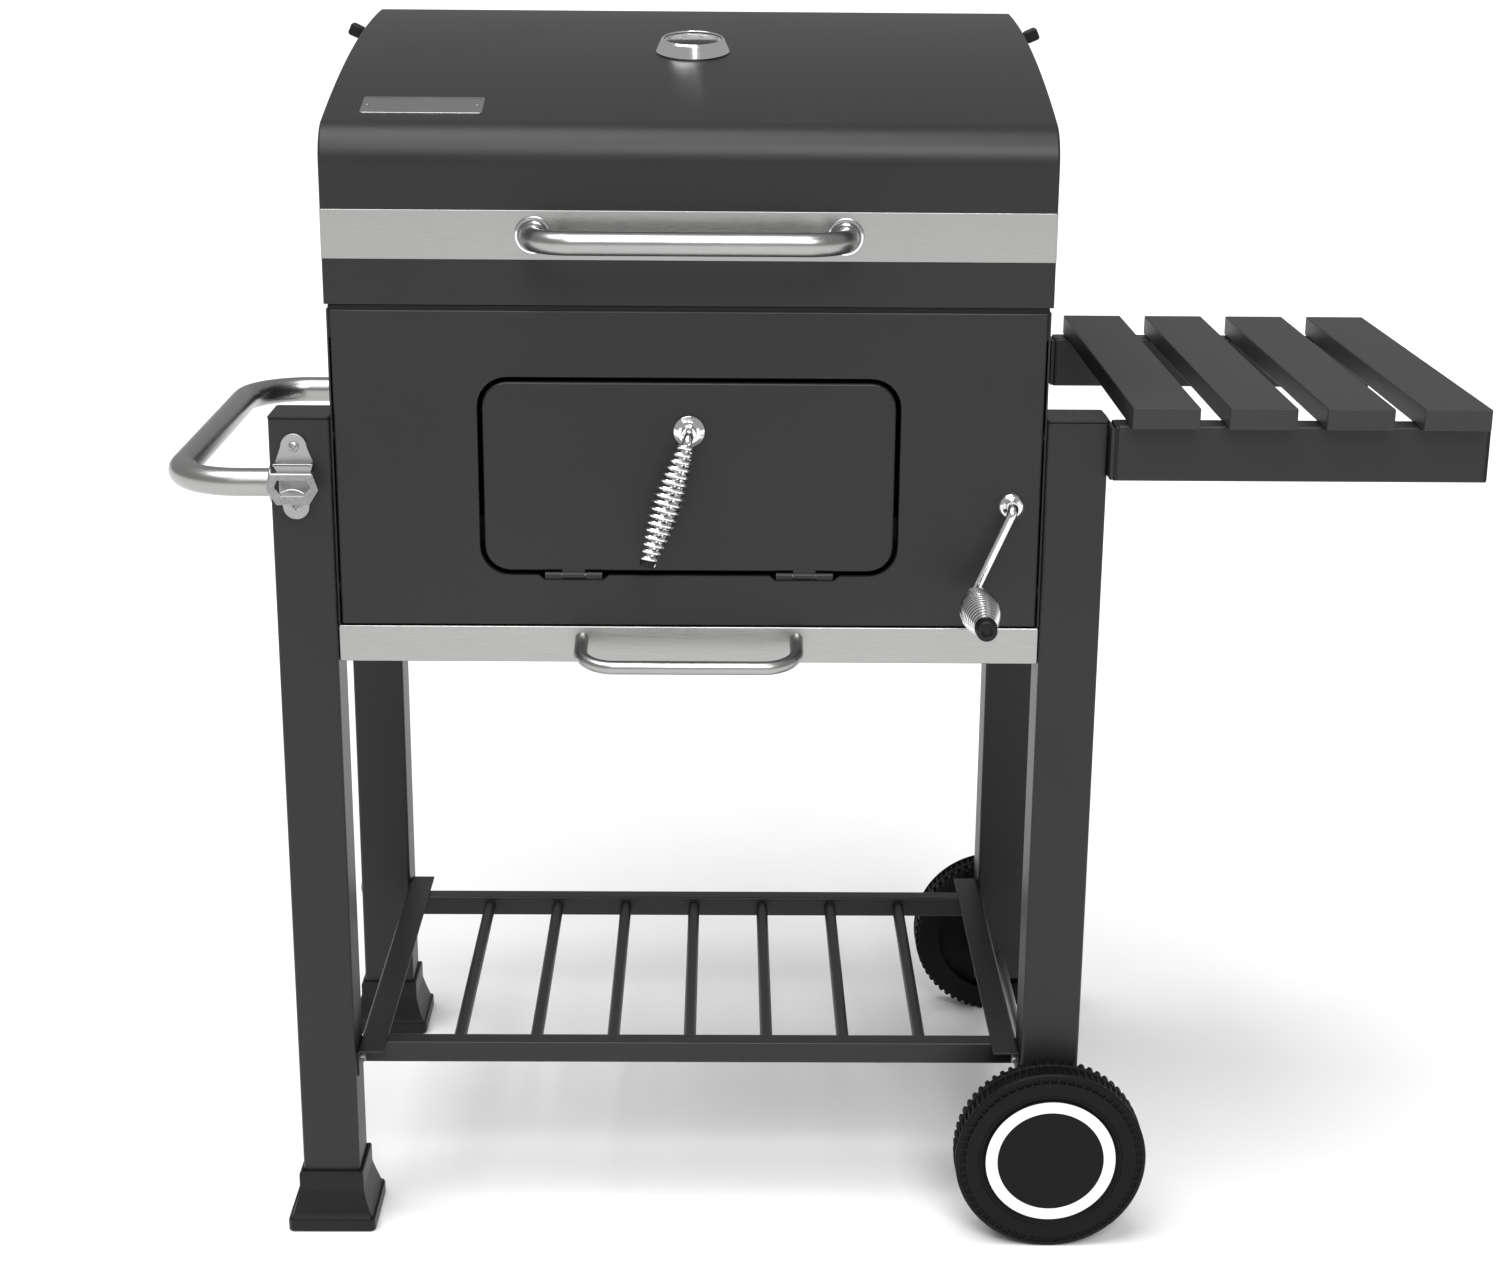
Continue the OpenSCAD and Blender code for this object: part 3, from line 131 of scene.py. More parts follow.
class GrillColours(PropertyGroup):
    """Colours of the grill's finishes"""
    coat: colour("Powder coat", "Colour of the textured powder coat", (0.013, 0.013, 0.0134))
    board: colour("Slat coat", "Colour of the coated shelf slats", (0.028, 0.028, 0.0285))
    plastic: colour("Black plastic", "Colour of feet, caps and knobs", (0.008, 0.008, 0.0083))
    tyre: colour("Tyre", "Colour of the wheels", (0.005, 0.005, 0.005))
    stainless: colour("Stainless", "Colour of the brushed stainless steel", (0.37, 0.368, 0.362))
    chrome: colour("Chrome", "Colour of the chrome plating", (0.80, 0.80, 0.81))
    zinc: colour("Zinc", "Colour of the zinc plating", (0.36, 0.36, 0.365))
    # The tray's black enamel. The record also gives this finish to the firebox rim, and its near-black colour
    # paints the shade in the gap under the lid.
    enamel_and_gap_shade: colour("Enamel and gap shade", "Colour of the charcoal tray's enamel, kept near black on the firebox rim as painted gap shade", (0.005, 0.005, 0.0053))
    white: colour("White", "Colour of the wheel rings and the dial", (0.80, 0.80, 0.79))
    red: colour("Needle red", "Colour of the thermometer's needle", (0.55, 0.04, 0.02))
    floor: colour("Floor", "Colour of the floor", (0.93, 0.93, 0.93))


def sizes():
    """The sizes in the sidebar, in millimetres."""
    group = bpy.context.scene.grill_sizes
    return SimpleNamespace(**{key: getattr(group, key) / MM for key in GrillSizes.__annotations__})


# ---- Surfaces: each returns (points, quads, caps) ----
def unit(v):
    """Vectors divided by their own lengths."""
    return v / np.linalg.norm(v, axis=-1, keepdims=True)


def square_to(axis, first=X):
    """A direction square to an axis: its product with the first choice, or with Z where they nearly agree."""
    return unit(np.cross(axis, first if abs(axis @ first) < 0.8 else Z))


def skin(rings, closed=False, ends=True):
    """Quads between neighbouring rings of points; each end ring is filled with one flat face."""
    rows, count = rings.shape[:2]
    index = np.arange(rows * count).reshape(rows, count)
    low = index if closed else index[:-1]
    high = np.roll(index, -1, axis=0) if closed else index[1:]
    quads = np.stack([low, np.roll(low, -1, 1), np.roll(high, -1, 1), high], axis=-1).reshape(-1, 4)
    caps = [index[0, ::-1], index[-1]] if ends and not closed else []
    return rings.reshape(-1, 3), quads, caps


def stand(origin, u=X, v=Y):
    """A local frame: its origin and its three axes, the third square to the first two."""
    u, v = unit(np.array(u, float)), unit(np.array(v, float))
    return np.array(origin, float), u, v, np.cross(u, v)


def on_stand(place, u, v, n):
    """Points at local distances u, v and n on a stand."""
    origin, a, b, c = place
    return origin + u[..., None] * a + v[..., None] * b + n[..., None] * c


def rounded_outline(w, h, r, arc=6):
    """Rectangles w by h with corners of radius r: four quarter circles about the corners' centres."""
    turn = (np.arange(4)[:, None] * np.pi / 2 + np.linspace(0, np.pi / 2, arc)[None, :]).ravel()
    right = np.repeat([1, -1, -1, 1], arc)
    up = np.repeat([1, 1, -1, -1], arc)
    w, h, r = (np.atleast_1d(np.asarray(a, float))[:, None] for a in (w, h, r))
    return right * (w / 2 - r) + r * np.cos(turn), up * (h / 2 - r) + r * np.sin(turn)


def loft(w, h, corner, profile, place):
    """Rounded rectangles stacked on a stand. Each profile row is (inset of the outline, height)."""
    inset, level = np.asarray(profile, float).T
    u, v = rounded_outline(w - 2 * inset, h - 2 * inset, np.maximum(corner - inset, FINEST))
    return skin(on_stand(place, u, v, np.broadcast_to(level[:, None], u.shape)))


def edge_arc(edge, top=0.0):
    """Quarter circle of radius edge from the wall, (0, top - edge), to the flat, (edge, top)."""
    t = np.linspace(0, np.pi / 2, EDGE_POINTS)
    return np.stack([edge * (1 - np.cos(t)), top - edge * (1 - np.sin(t))], axis=1)


AXIS_STANDS = {"x": (Y, Z), "y": (Z, X), "z": (X, Y)}


def block(low, high, corner, edge, axis="z"):
    """Box with its long corners rounded by corner and the edges of its two ends rounded by edge."""
    low, high = np.array(low, float), np.array(high, float)
    u, v = AXIS_STANDS[axis]
    n = np.cross(u, v)
    size = high - low
    top = edge_arc(edge, size @ n)
    bottom = edge_arc(edge)[::-1] * [1, -1]
    middle = (low + high) / 2 - n * (size @ n) / 2
    return loft(size @ u, size @ v, corner, np.vstack([bottom, top]), stand(middle, u, v))


def pan(w, h, depth, corner, edge, wall, place):
    """Folded pan: flat face at height 0, its skirt turned back to -depth, hollow behind."""
    inside = [(wall + edge, -wall), (wall, -wall - edge), (wall, -depth), (0, -depth)]
    return loft(w, h, corner, np.vstack([inside, edge_arc(edge)]), place)


def prism(outline, place, depth):
    """An outline of (u, v) points carried straight along the stand's third axis."""
    u, v = np.asarray(outline, float).T
    n = np.array([[0.0], [depth]])
    return skin(on_stand(place, np.tile(u, (2, 1)), np.tile(v, (2, 1)), n * np.ones(len(u))))


def ring_plate(outer, inner, place, depth):
    """Flat plate between two outlines that have the same number of points."""
    (u0, v0), (u1, v1) = np.asarray(outer, float).T, np.asarray(inner, float).T
    n = np.array([0.0, depth, depth, 0.0])[:, None] * np.ones(len(u0))
    return skin(on_stand(place, np.stack([u0, u0, u1, u1]), np.stack([v0, v0, v1, v1]), n), closed=True)


def bent_path(corners, bends, steps=10):
    """Straight runs joined by circular bends: at each inner corner an arc touches both runs."""
    corners = np.array(corners, float)
    bends = np.broadcast_to(np.asarray(bends, float), len(corners) - 2)
    into, out = unit(corners[1:-1] - corners[:-2]), unit(corners[2:] - corners[1:-1])
    half = np.arccos(np.clip((into * out).sum(1), -1, 1)) / 2
    start = corners[1:-1] - into * (bends * np.tan(half))[:, None]
    centre = corners[1:-1] + unit(out - into) * (bends / np.cos(half))[:, None]
    turn = (2 * half[:, None] * np.linspace(0, 1, steps + 1))[..., None]
    reach = (into * bends[:, None])[:, None]
    arcs = centre[:, None] + (start - centre)[:, None] * np.cos(turn) + reach * np.sin(turn)
    return np.vstack([corners[:1], arcs.reshape(-1, corners.shape[1]), corners[-1:]])


def circle_rings(path, radius, side, other, sides):
    """A circle round each point of a path, in the plane of the two given directions."""
    turn = np.linspace(0, 2 * np.pi, sides, endpoint=False)[None, :, None]
    radius = np.broadcast_to(np.asarray(radius, float), len(path))[:, None, None]
    side, other = np.broadcast_to(side, path.shape), np.broadcast_to(other, path.shape)
    return path[:, None] + radius * (np.cos(turn) * side[:, None] + np.sin(turn) * other[:, None])


def tube(path, radius, side, sides=24):
    """Round bar along a path: circles square to it, measured from a direction square to the path."""
    ahead = unit(np.gradient(path, axis=0))
    return skin(circle_rings(path, radius, side, np.cross(ahead, side), sides))


def lathe(profile, centre, axis, sides=56, closed=False):
    """Profile rows of (radius, height) turned about an axis through the centre."""
    radius, height = np.asarray(profile, float).T
    axis = unit(np.array(axis, float))
    side = square_to(axis)
    path = np.array(centre, float) + height[:, None] * axis
    return skin(circle_rings(path, radius, side, np.cross(axis, side), sides), closed, ends=False)


def coil(start, along, reach, turns, wire, end_r, mid_r):
    """Wire wound on a barrel: the turn grows evenly along the axis and the winding's radius
    follows half a sine wave from end_r through mid_r back to end_r."""
    t = np.linspace(0, 1, turns * WIRE_STEPS + 1)[:, None]
    along = unit(np.array(along, float))
    side = square_to(along, Y)
    turn = 2 * np.pi * turns * t
    radial = np.cos(turn) * side + np.sin(turn) * np.cross(along, side)
    path = np.array(start, float) + t * reach * along
    path = path + (end_r + (mid_r - end_r) * np.sin(np.pi * t) - wire) * radial
    ahead = unit(np.gradient(path, axis=0))
    return tube(path, wire, unit(np.cross(along, ahead)), WIRE_SIDES)


def screw_head(centre, axis, radius, height):
    """Domed head with a crossed slot: height falls with the square of the radius, less the slot's depth."""
    axis = unit(np.array(axis, float))
    side = square_to(axis)
    r = np.concatenate([np.linspace(0, 0.9, 13), [1.0, 1.0]])[:, None] * radius
    turn = np.linspace(0, 2 * np.pi, 48, endpoint=False)[None, :]
    u, v = np.abs(r * np.cos(turn)), np.abs(r * np.sin(turn))
    slot_w, slot_l, slot_deep = 0.13 * radius, 0.55 * radius, 0.35 * height
    inside = ((u < slot_w) & (v < slot_l)) | ((v < slot_w) & (u < slot_l))
    dome = height * (1 - 0.55 * (r / radius) ** 2) - slot_deep * inside
    dome[-1] = 0.0
    spoke = np.cos(turn)[..., None] * side + np.sin(turn)[..., None] * np.cross(axis, side)
    return skin(np.array(centre, float) + dome[..., None] * axis + r[..., None] * spoke, ends=False)


def gather(solids):
    """Several surfaces as one: their points end to end, their faces counted on."""
    starts = np.cumsum([0] + [len(s[0]) for s in solids[:-1]])
    points = np.vstack([s[0] for s in solids])
    quads = np.vstack([s[1] + start for s, start in zip(solids, starts)])
    caps = [cap + start for s, start in zip(solids, starts) for cap in s[2]]
    return points, quads, caps


def make_piece(name, solids, body, slot_name, *stands_for, bevel=0.0):
    """Puts surfaces into one mesh object, welds its seams, turns its faces out and rides it on a body."""
    points, quads, caps = gather(solids)
    mesh = bpy.data.meshes.new(name)
    mesh.from_pydata((points * MM + BENCH).tolist(), [], quads.tolist() + [cap.tolist() for cap in caps])
    work = bmesh.new()
    work.from_mesh(mesh)
    bmesh.ops.remove_doubles(work, verts=work.verts, dist=WELD)
    bmesh.ops.dissolve_degenerate(work, dist=WELD, edges=work.edges)
    bmesh.ops.recalc_face_normals(work, faces=work.faces)
    work.to_mesh(mesh)
    work.free()
    mesh.materials.append(FINISHES[slot_name])
    mesh.shade_smooth()
    mesh.set_sharp_from_angle(angle=CREASE)
    piece = bpy.data.objects.new(name, mesh)
    bpy.context.scene.collection.objects.link(piece)
    if bevel:
        rounding = piece.modifiers.new("Rounded edges", "BEVEL")
        rounding.width = bevel * MM
        rounding.segments = 2
        rounding.limit_method = "ANGLE"
        rounding.angle_limit = CREASE
    shading = piece.modifiers.new("Even shading", "WEIGHTED_NORMAL")
    shading.keep_sharp = True
    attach(piece, body)
    if stands_for:
        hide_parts(*stands_for)


# ---- Finishes ----
def finish(name, tint, metallic, roughness, grain, depth, spread=0.05, shade=0.12, stretch=(1, 1, 1),
           **sockets):
    """A finish whose fine noise on object coordinates varies colour and roughness and lifts the surface.
    grain is the noise's scale per metre, depth the relief in metres, stretch draws the noise out."""
    material = bpy.data.materials.new(name)
    material.use_nodes = True
    tree = material.node_tree
    shader = tree.nodes["Principled BSDF"]
    shader.inputs["Metallic"].default_value = metallic
    for key, value in sockets.items():
        shader.inputs[key.replace("_", " ").title().replace("Ior", "IOR")].default_value = value

    def add(kind, **inputs):
        made = tree.nodes.new(kind)
        for key, value in inputs.items():
            made.inputs[key].default_value = value
        return made

    def link(source, output, target, socket):
        tree.links.new(source.outputs[output], target.inputs[socket])

    place = add("ShaderNodeTexCoord")
    mapping = add("ShaderNodeMapping", Scale=stretch)
    fine = add("ShaderNodeTexNoise", Scale=grain, Detail=3.0, Roughness=0.6)
    broad = add("ShaderNodeTexNoise", Scale=6.0, Detail=2.0, Roughness=0.5)
    link(place, "Object", mapping, "Vector")
    link(mapping, "Vector", fine, "Vector")
    link(place, "Object", broad, "Vector")
    # both noises together: the fine one plus a share of the broad one
    blend = add("ShaderNodeMath")
    blend.operation = "MULTIPLY_ADD"
    blend.inputs[1].default_value = 0.4
    link(broad, "Fac", blend, 0)
    link(fine, "Fac", blend, 2)
    gloss = add("ShaderNodeMapRange", **{"From Min": 0.4, "From Max": 1.0, "To Min": roughness - spread,
                                         "To Max": roughness + spread})
    link(blend, 0, gloss, "Value")
    link(gloss, "Result", shader, "Roughness")
    ramp = add("ShaderNodeValToRGB")
    for stop, position, share in zip(ramp.color_ramp.elements, (0.45, 0.95), (1 - shade, 1 + shade)):
        stop.position = position
        stop.color = (*[min(1.0, c * share) for c in tint], 1)
    link(blend, 0, ramp, "Fac")
    link(ramp, "Color", shader, "Base Color")
    relief = add("ShaderNodeBump", Strength=1.0, Distance=depth)
    link(fine, "Fac", relief, "Height")
    link(relief, "Normal", shader, "Normal")
    return material


def make_finishes():
    """One material for each of the grill's finishes, keyed by the record's slot name."""
    c = bpy.context.scene.grill_colours
    return {
        "charcoal_paint": finish("Textured powder coat", c.coat, 0.0, 0.4, 1500, 0.00009, shade=0.22,
                                 specular_ior_level=0.35),
        "slat_paint": finish("Coated slats", c.board, 0.0, 0.5, 1300, 0.00008, shade=0.2,
                             specular_ior_level=0.3),
        "black_plastic": finish("Moulded black plastic", c.plastic, 0.0, 0.4, 2200, 0.00003, shade=0.15,
                                specular_ior_level=0.22),
        "wheel_plastic": finish("Tyre", c.tyre, 0.0, 0.5, 1800, 0.00004, shade=0.2, specular_ior_level=0.12),
        "brushed_stainless": finish("Brushed stainless", c.stainless, 1.0, 0.3, 2600, 0.00002, spread=0.07,
                                    shade=0.1, stretch=(0.02, 1.0, 1.0)),
        "chrome": finish("Chrome plate", c.chrome, 1.0, 0.1, 500, 0.000004, spread=0.03, shade=0.03),
        "zinc_steel": finish("Zinc plate", c.zinc, 1.0, 0.36, 700, 0.00002, spread=0.08, shade=0.15),
        # Also on the firebox rim through the record's slot: its near-black colour is painted shade for the
        # gap under the lid, as well as the tray's enamel.
        "tray_enamel": finish("Black enamel and painted gap shade", c.enamel_and_gap_shade, 0.0, 0.3, 400, 0.00004, shade=0.2,
                              specular_ior_level=0.2),
        "dial_white": finish("Dial print", c.white, 0.0, 0.45, 900, 0.00001, shade=0.03),
        "needle_red": finish("Red needle", c.red, 0.0, 0.4, 900, 0.00001, shade=0.05),
        "clear_glass": finish("Clear glass", (0.97, 0.98, 0.98), 0.0, 0.04, 60, 0.0000005, spread=0.01,
                              shade=0.01, transmission_weight=1.0, ior=1.45),
    }


FINISHES = {}


def paint_frame():
    """Every CAD node that stays in view gets the finish of its slot in the record."""
    for part in frame["record"]["subparts"]:
        mesh = frame["nodes"][part["node"]].data
        mesh.materials.clear()
        mesh.materials.append(FINISHES[part["material_slot"]])


# ---- The lid's outline ----
CROWN_SLOPE = math.radians(16.24)  # slope of the crown where it leaves the front bend


def lid_shape(s):
    """The lid's side view, in (y, z): straight front, bend, crown arc, back bend. Returns its key places."""
    low, high = span("lid_sides")
    bend_z = low[2] + s.lid_front
    crown_y = s.lid_bend + (s.lid_crown - s.lid_bend) * math.sin(CROWN_SLOPE)
    crown_z = bend_z - (s.lid_crown - s.lid_bend) * math.cos(CROWN_SLOPE)
    back_y = high[1] - s.lid_back_bend
    back_z = crown_z + math.sqrt((s.lid_crown - s.lid_back_bend) ** 2 - (back_y - crown_y) ** 2)
    back_angle = math.atan2(back_y - crown_y, back_z - crown_z)
    return SimpleNamespace(low=low[2], back=high[1], bend_z=bend_z, crown_y=crown_y, crown_z=crown_z,
                           back_y=back_y, back_z=back_z, back_angle=back_angle)


def lid_outline(s, inset):
    """Points (y, z) along the lid's side view, moved inwards by inset at every row of the result."""
    k = lid_shape(s)
    inset = np.asarray(inset, float)[:, None]

    def arc(y, z, r, start, end, steps):
        """A circle's arc about (y, z), its radius less the inset."""
        a = np.linspace(start, end, steps + 1)
        return y + (r - inset) * np.sin(a), z + (r - inset) * np.cos(a)

    bend = arc(s.lid_bend, k.bend_z, s.lid_bend, -np.pi / 2, -CROWN_SLOPE, 12)
    crown = arc(k.crown_y, k.crown_z, s.lid_crown, -CROWN_SLOPE, k.back_angle, 40)
    back = arc(k.back_y, k.back_z, s.lid_back_bend, k.back_angle, np.pi / 2, 10)
    foot = np.full_like(inset, k.low)
    y = np.hstack([inset, bend[0], crown[0][:, 1:], back[0][:, 1:], k.back - inset])
    z = np.hstack([foot, bend[1], crown[1][:, 1:], back[1][:, 1:], foot])
    return y, z


def crown_stand(s, x, y, lift=0.0):
    """A stand on the lid's crown, its third axis square to the sheet."""
    k = lid_shape(s)
    tilt = math.asin((y - k.crown_y) / s.lid_crown)
    normal = np.array([0.0, math.sin(tilt), math.cos(tilt)])
    origin = np.array([x, k.crown_y, k.crown_z]) + normal * (s.lid_crown + lift)
    return stand(origin, X, np.cross(normal, X))


# ---- Cart ----
class GRILL_OT_legs(Operator):
    """Builds the four square legs and the caps in their tops"""
    bl_idname = "grill.legs"
    bl_label = "Legs"

    def execute(self, context):
        s = sizes()
        top = span("leg_caps")[1][2]
        proud, wall, plug = 0.4, 1.6, 6
        caps = []
        for node in ("left_legs", "right_legs"):
            low, high = span(node)
            fronts = (low[1], high[1] - s.leg_d)
            tubes = [block([low[0], y, low[2]], [high[0], y + s.leg_d, high[2]], s.leg_corner, 0.4)
                     for y in fronts]
            make_piece(node + "_tubes", tubes, "cart", "charcoal_paint", node)
            for y in fronts:
                middle = [(low[0] + high[0]) / 2, y + s.leg_d / 2, top]
                caps.append(pan(high[0] - low[0] + 2 * proud, s.leg_d + 2 * proud, 1.9, s.leg_corner + proud,
                                0.9, 1.0, stand(middle)))
                caps.append(block([low[0] + wall, y + wall, top - plug],
                                  [high[0] - wall, y + s.leg_d - wall, top - 1], 2, 0.3))
        make_piece("leg_top_caps", caps, "cart", "black_plastic", "leg_caps")
        return {"FINISHED"}


class GRILL_OT_feet(Operator):
    """Builds the flared feet: a square rim, a concave flare and a collar round the leg"""
    bl_idname = "grill.feet"
    bl_label = "Feet"

    def execute(self, context):
        s = sizes()
        low, high = span("left_feet")
        leg_low, leg_high = span("left_legs")
        collar = (s.foot_w - (leg_high[0] - leg_low[0])) / 2
        t = np.linspace(0, 1, 9)
        flare = np.stack([2.4 + (collar - 6.0) * t ** 0.75, 12.5 + 25.5 * t], axis=1)
        rim = [(1.6, 0), (0, 1.4), (0, 11), (0.5, 12.2), (1.6, 12.5)]
        neck = [(collar - 3.6, 39), (collar - 3.6, 54.5), (collar - 3, 56.4), (collar - 1.8, 57),
                (collar - 0.5, 57), (collar - 0.3, 48), (collar + 1, 47)]
        profile = np.vstack([rim, flare, neck])
        places = [(low[0] + s.foot_w / 2, y) for y in (low[1] + s.foot_w / 2, high[1] - s.foot_w / 2)]
        feet = [loft(s.foot_w, s.foot_w, 6, profile, stand([x, y, 0])) for x, y in places]
        make_piece("flared_feet", feet, "cart", "black_plastic", "left_feet")
        return {"FINISHED"}


def opening_outline(s):
    """The door opening about the door's centre: a rounded rectangle with a sloped notch for each hinge."""
    w, h = s.door_w + 2 * s.door_gap, s.door_h + 2 * s.door_gap
    arc = 8
    u, v = rounded_outline(w, h, s.door_corner + s.door_gap, arc)
    corners = np.stack([u[0], v[0]], axis=1)
    half, deep, slope = s.hinge_l / 2 + 1, 4.2, 5
    notch = np.array([(-half - slope, 0), (-half, -deep), (half, -deep), (half + slope, 0)])
    notches = [notch + [side * s.hinge_span / 2, -h / 2] for side in (-1, 1)]
    third = 3 * arc  # the lower edge runs from the end of the third corner
    return np.vstack([corners[:third], *notches, corners[third:]])


def swell(outline, reach):
    """A closed outline moved outwards by reach along the normals of its neighbours' chord."""
    chord = unit(np.roll(outline, -1, axis=0) - np.roll(outline, 1, axis=0))
    return outline + reach * np.stack([chord[:, 1], -chord[:, 0]], axis=1)


def on_rectangle(outline, low, high):
    """Where rays from the origin through an outline's points meet a rectangle; the nearest points go to its
    corners."""
    with np.errstate(divide="ignore"):
        reach = np.where(outline > 0, high / outline, low / outline)
    edge = outline * np.min(np.where(np.isfinite(reach) & (reach > 0), reach, np.inf), axis=1)[:, None]
    for corner in ((low[0], low[1]), (low[0], high[1]), (high[0], low[1]), (high[0], high[1])):
        edge[np.argmin(np.linalg.norm(edge - corner, axis=1))] = corner
    return edge


def door_centre():
    """Middle of the door's face: half the door's height under its top."""
    low, high = span("door_panel")
    return np.array([(low[0] + high[0]) / 2, 0.0, high[2] - sizes().door_h / 2])


class GRILL_OT_front_panel(Operator):
    """Builds the firebox front: a flat sheet whose door opening has a lip turned back round it"""
    bl_idname = "grill.front_panel"
    bl_label = "Front Panel"

    def execute(self, context):
        s = sizes()
        low, high = span("front_panel")
        middle = door_centre()
        inner = opening_outline(s)
        side_gap, lip = np.array([3.0, 0.0]), 5.0
        left_low = low[[0, 2]] - middle[[0, 2]] + side_gap
        right_high = high[[0, 2]] - middle[[0, 2]] - side_gap
        outer = on_rectangle(inner, left_low, right_high)
        rim = np.vstack([[(2.6, -s.sheet), (1.4, -2.6), (0, -2.6)], edge_arc(2.2)])
        rows = [(np.clip(outer, left_low + inset, right_high - inset), level) for inset, level in rim]
        fold = ((1.4, 0.0), (0.5, 0.35), (0.1, 1.0), (0.1, lip))
        rows += [(swell(inner, reach), -back) for reach, back in fold]
        rows += [(swell(inner, 1.3), level) for level in (-lip, -s.sheet)]
        place = stand(middle, X, Z)
        u = np.stack([row[0][:, 0] for row in rows])
        v = np.stack([row[0][:, 1] for row in rows])
        n = np.stack([np.full(len(inner), row[1]) for row in rows])
        make_piece("firebox_front", [skin(on_stand(place, u, v, n), closed=True)], "cart", "charcoal_paint",
                   "front_panel")
        return {"FINISHED"}


def bow_path(origin, along, out, feet, reach, bend):
    """A handle's middle line: two feet, bowed out by reach, with a circular bend at each corner."""
    flat = bent_path([(-feet / 2, -1), (-feet / 2, reach), (feet / 2, reach), (feet / 2, -1)], bend, 14)
    return np.array(origin, float) + flat[:, :1] * along + flat[:, 1:] * out


class GRILL_OT_side_handle(Operator):
    """Builds the bent tube on the left side and the welded flanges at its feet"""
    bl_idname = "grill.side_handle"
    bl_label = "Side Handle"

    def execute(self, context):
        s = sizes()
        r, flange_r = s.side_tube_r, 18.5
        low, high = span("side_handle")
        fronts = (low[1] + flange_r, high[1] - flange_r)
        z = (low[2] + high[2]) / 2
        origin = [high[0], sum(fronts) / 2, z]
        path = bow_path(origin, Y, -X, fronts[1] - fronts[0], high[0] - low[0] - r, s.side_bend)
        solids = [tube(path, r, Z, 32)]
        profile = [(r - 1, 0), (flange_r, 0), (flange_r, 1.8), (flange_r - 0.8, 2.8), (r + 1.6, 3),
                   (r + 0.5, 4), (r - 1, 4.6)]
        solids += [lathe(profile, [high[0], y, z], -X, closed=True) for y in fronts]
        make_piece("side_handle_tube", solids, "cart", "brushed_stainless", "side_handle")
        return {"FINISHED"}


# How far the opener stands left of its CAD box's middle, its ears' thickness and their screws' height
OPENER_SHIFT, EAR_WALL, EAR_Z = 1.0, 2.5, 26.5


class GRILL_OT_bottle_opener(Operator):
    """Builds the folded steel bottle opener: two ears, two shoulders, a hood and the lip in its mouth"""
    bl_idname = "grill.bottle_opener"
    bl_label = "Bottle Opener"

    def execute(self, context):
        low, high = span("bottle_opener")
        x, face, z = (low[0] + high[0]) / 2 - OPENER_SHIFT, high[1], (low[2] + high[2]) / 2
        ear_r = 11.5
        a = np.linspace(0, np.pi, 17)
        ear = np.stack([ear_r * np.cos(a), ear_r * np.sin(a) + EAR_Z], axis=1)
        upper = np.vstack([ear, [(-16.5, 13), (-16.5, 11), (16.5, 11), (16.5, 13)]])
        lower = np.vstack([-ear, [(14, -14), (14, 10), (-14, 10), (-14, -14)]])
        wall = stand([x, face, z], X, Z)
        solids = [prism(upper, wall, EAR_WALL), prism(lower, wall, EAR_WALL)]
        # shelf under the upper ear, folded down and back in behind the hood
        solids.append(block([x - 17, face - 13, z + 11], [x + 17.5, face - 1.5, z + 13.4], 1.0, 0.8))
        drop = [(-17, 13), (17.5, 13), (15.5, 6), (-13.5, 6)]
        solids.append(prism(drop, stand([x, face - 11, z], X, Z), 2.0))
        solids.append(block([x - 19.5, face - 18.5, z + 1.4], [x + 18, face - 9, z + 6.4], 1.6, 1.4))
        # hood: a six-sided plate leaning back to its foot, with a wide mouth through it
        lean = math.radians(14)
        front = stand([x, face - 17, z + 3], X, [0, math.sin(lean), math.cos(lean)])
        hood = [(18, 2), (-19, 2), (-22, -11), (-13, -24), (15, -24), (23, -11)]
        mouth = [(13, -3), (-13, -3), (-15, -9), (-9, -16.5), (10, -16.5), (16, -9)]
        solids.append(ring_plate(hood, mouth, front, 2.2))
        t = np.linspace(-1, 1, 15)
        lip = on_stand(front, 0.5 + 10.5 * t, -14.5 + 3.5 * (1 - t ** 2), np.full(15, 1.6))
        solids.append(tube(lip, 1.2, Y, 10))
        make_piece("folded_opener", solids, "cart", "zinc_steel", "bottle_opener", bevel=0.4)
        return {"FINISHED"}


ANGLE_WALL = 1.8  # thickness of the bottom shelf's side angles


class GRILL_OT_bolts(Operator):
    """Builds the crossed screw heads that hold the cart together, and their nuts"""
    bl_idname = "grill.bolts"
    bl_label = "Bolts"

    def execute(self, context):
        s = sizes()
        out_x = span("right_legs")[1][0]
        side_x = span("side_panels")[1][0] - s.sheet
        angle_x = span("low_shelf_sides")[1][0] - ANGLE_WALL
        head_r, nut_r = 7.0, 6.0
        top = span("leg_caps")[1][2] - 22.5
        waist = span("front_panel")[0][2] + 26
        shelf = span("low_shelf_sides")[1][2] - 13
        leg_low, leg_high = span("left_legs")
        front, back = leg_low[1] + s.leg_d / 2 + 4, leg_high[1] - s.leg_d / 2 - 8
        solids = []
        for side in (-X, X):
            for y in (front, back):
                for z, inside in ((top, side_x), (waist, side_x), (shelf, angle_x)):
                    place = np.array([0, y, z])
                    solids.append(screw_head(place + side * out_x, side, head_r, 3.6))
                    nut = [(0, 0), (nut_r, 0), (nut_r, 3.2), (nut_r - 1, 4), (0, 4)]
                    solids.append(lathe(nut, place + side * inside, -side, 6))
        low, high = span("bottle_opener")
        x, y, z = (low[0] + high[0]) / 2 - OPENER_SHIFT, high[1] - EAR_WALL, (low[2] + high[2]) / 2
        solids += [screw_head([x, y, z + step], -Y, 4.6, 3.0) for step in (-EAR_Z, EAR_Z)]
        make_piece("cart_screws", solids, "cart", "zinc_steel", "cart_bolts")
        return {"FINISHED"}


# ---- Shelves ----
def rail_pair(node, thickness, corner, edge):
    """A box rail along the front and the back of a CAD node, each as long and as high as the node."""
    low, high = span(node)
    return [block([low[0], y, low[2]], [high[0], y + thickness, high[2]], corner, edge, "x")
            for y in (low[1], high[1] - thickness)]


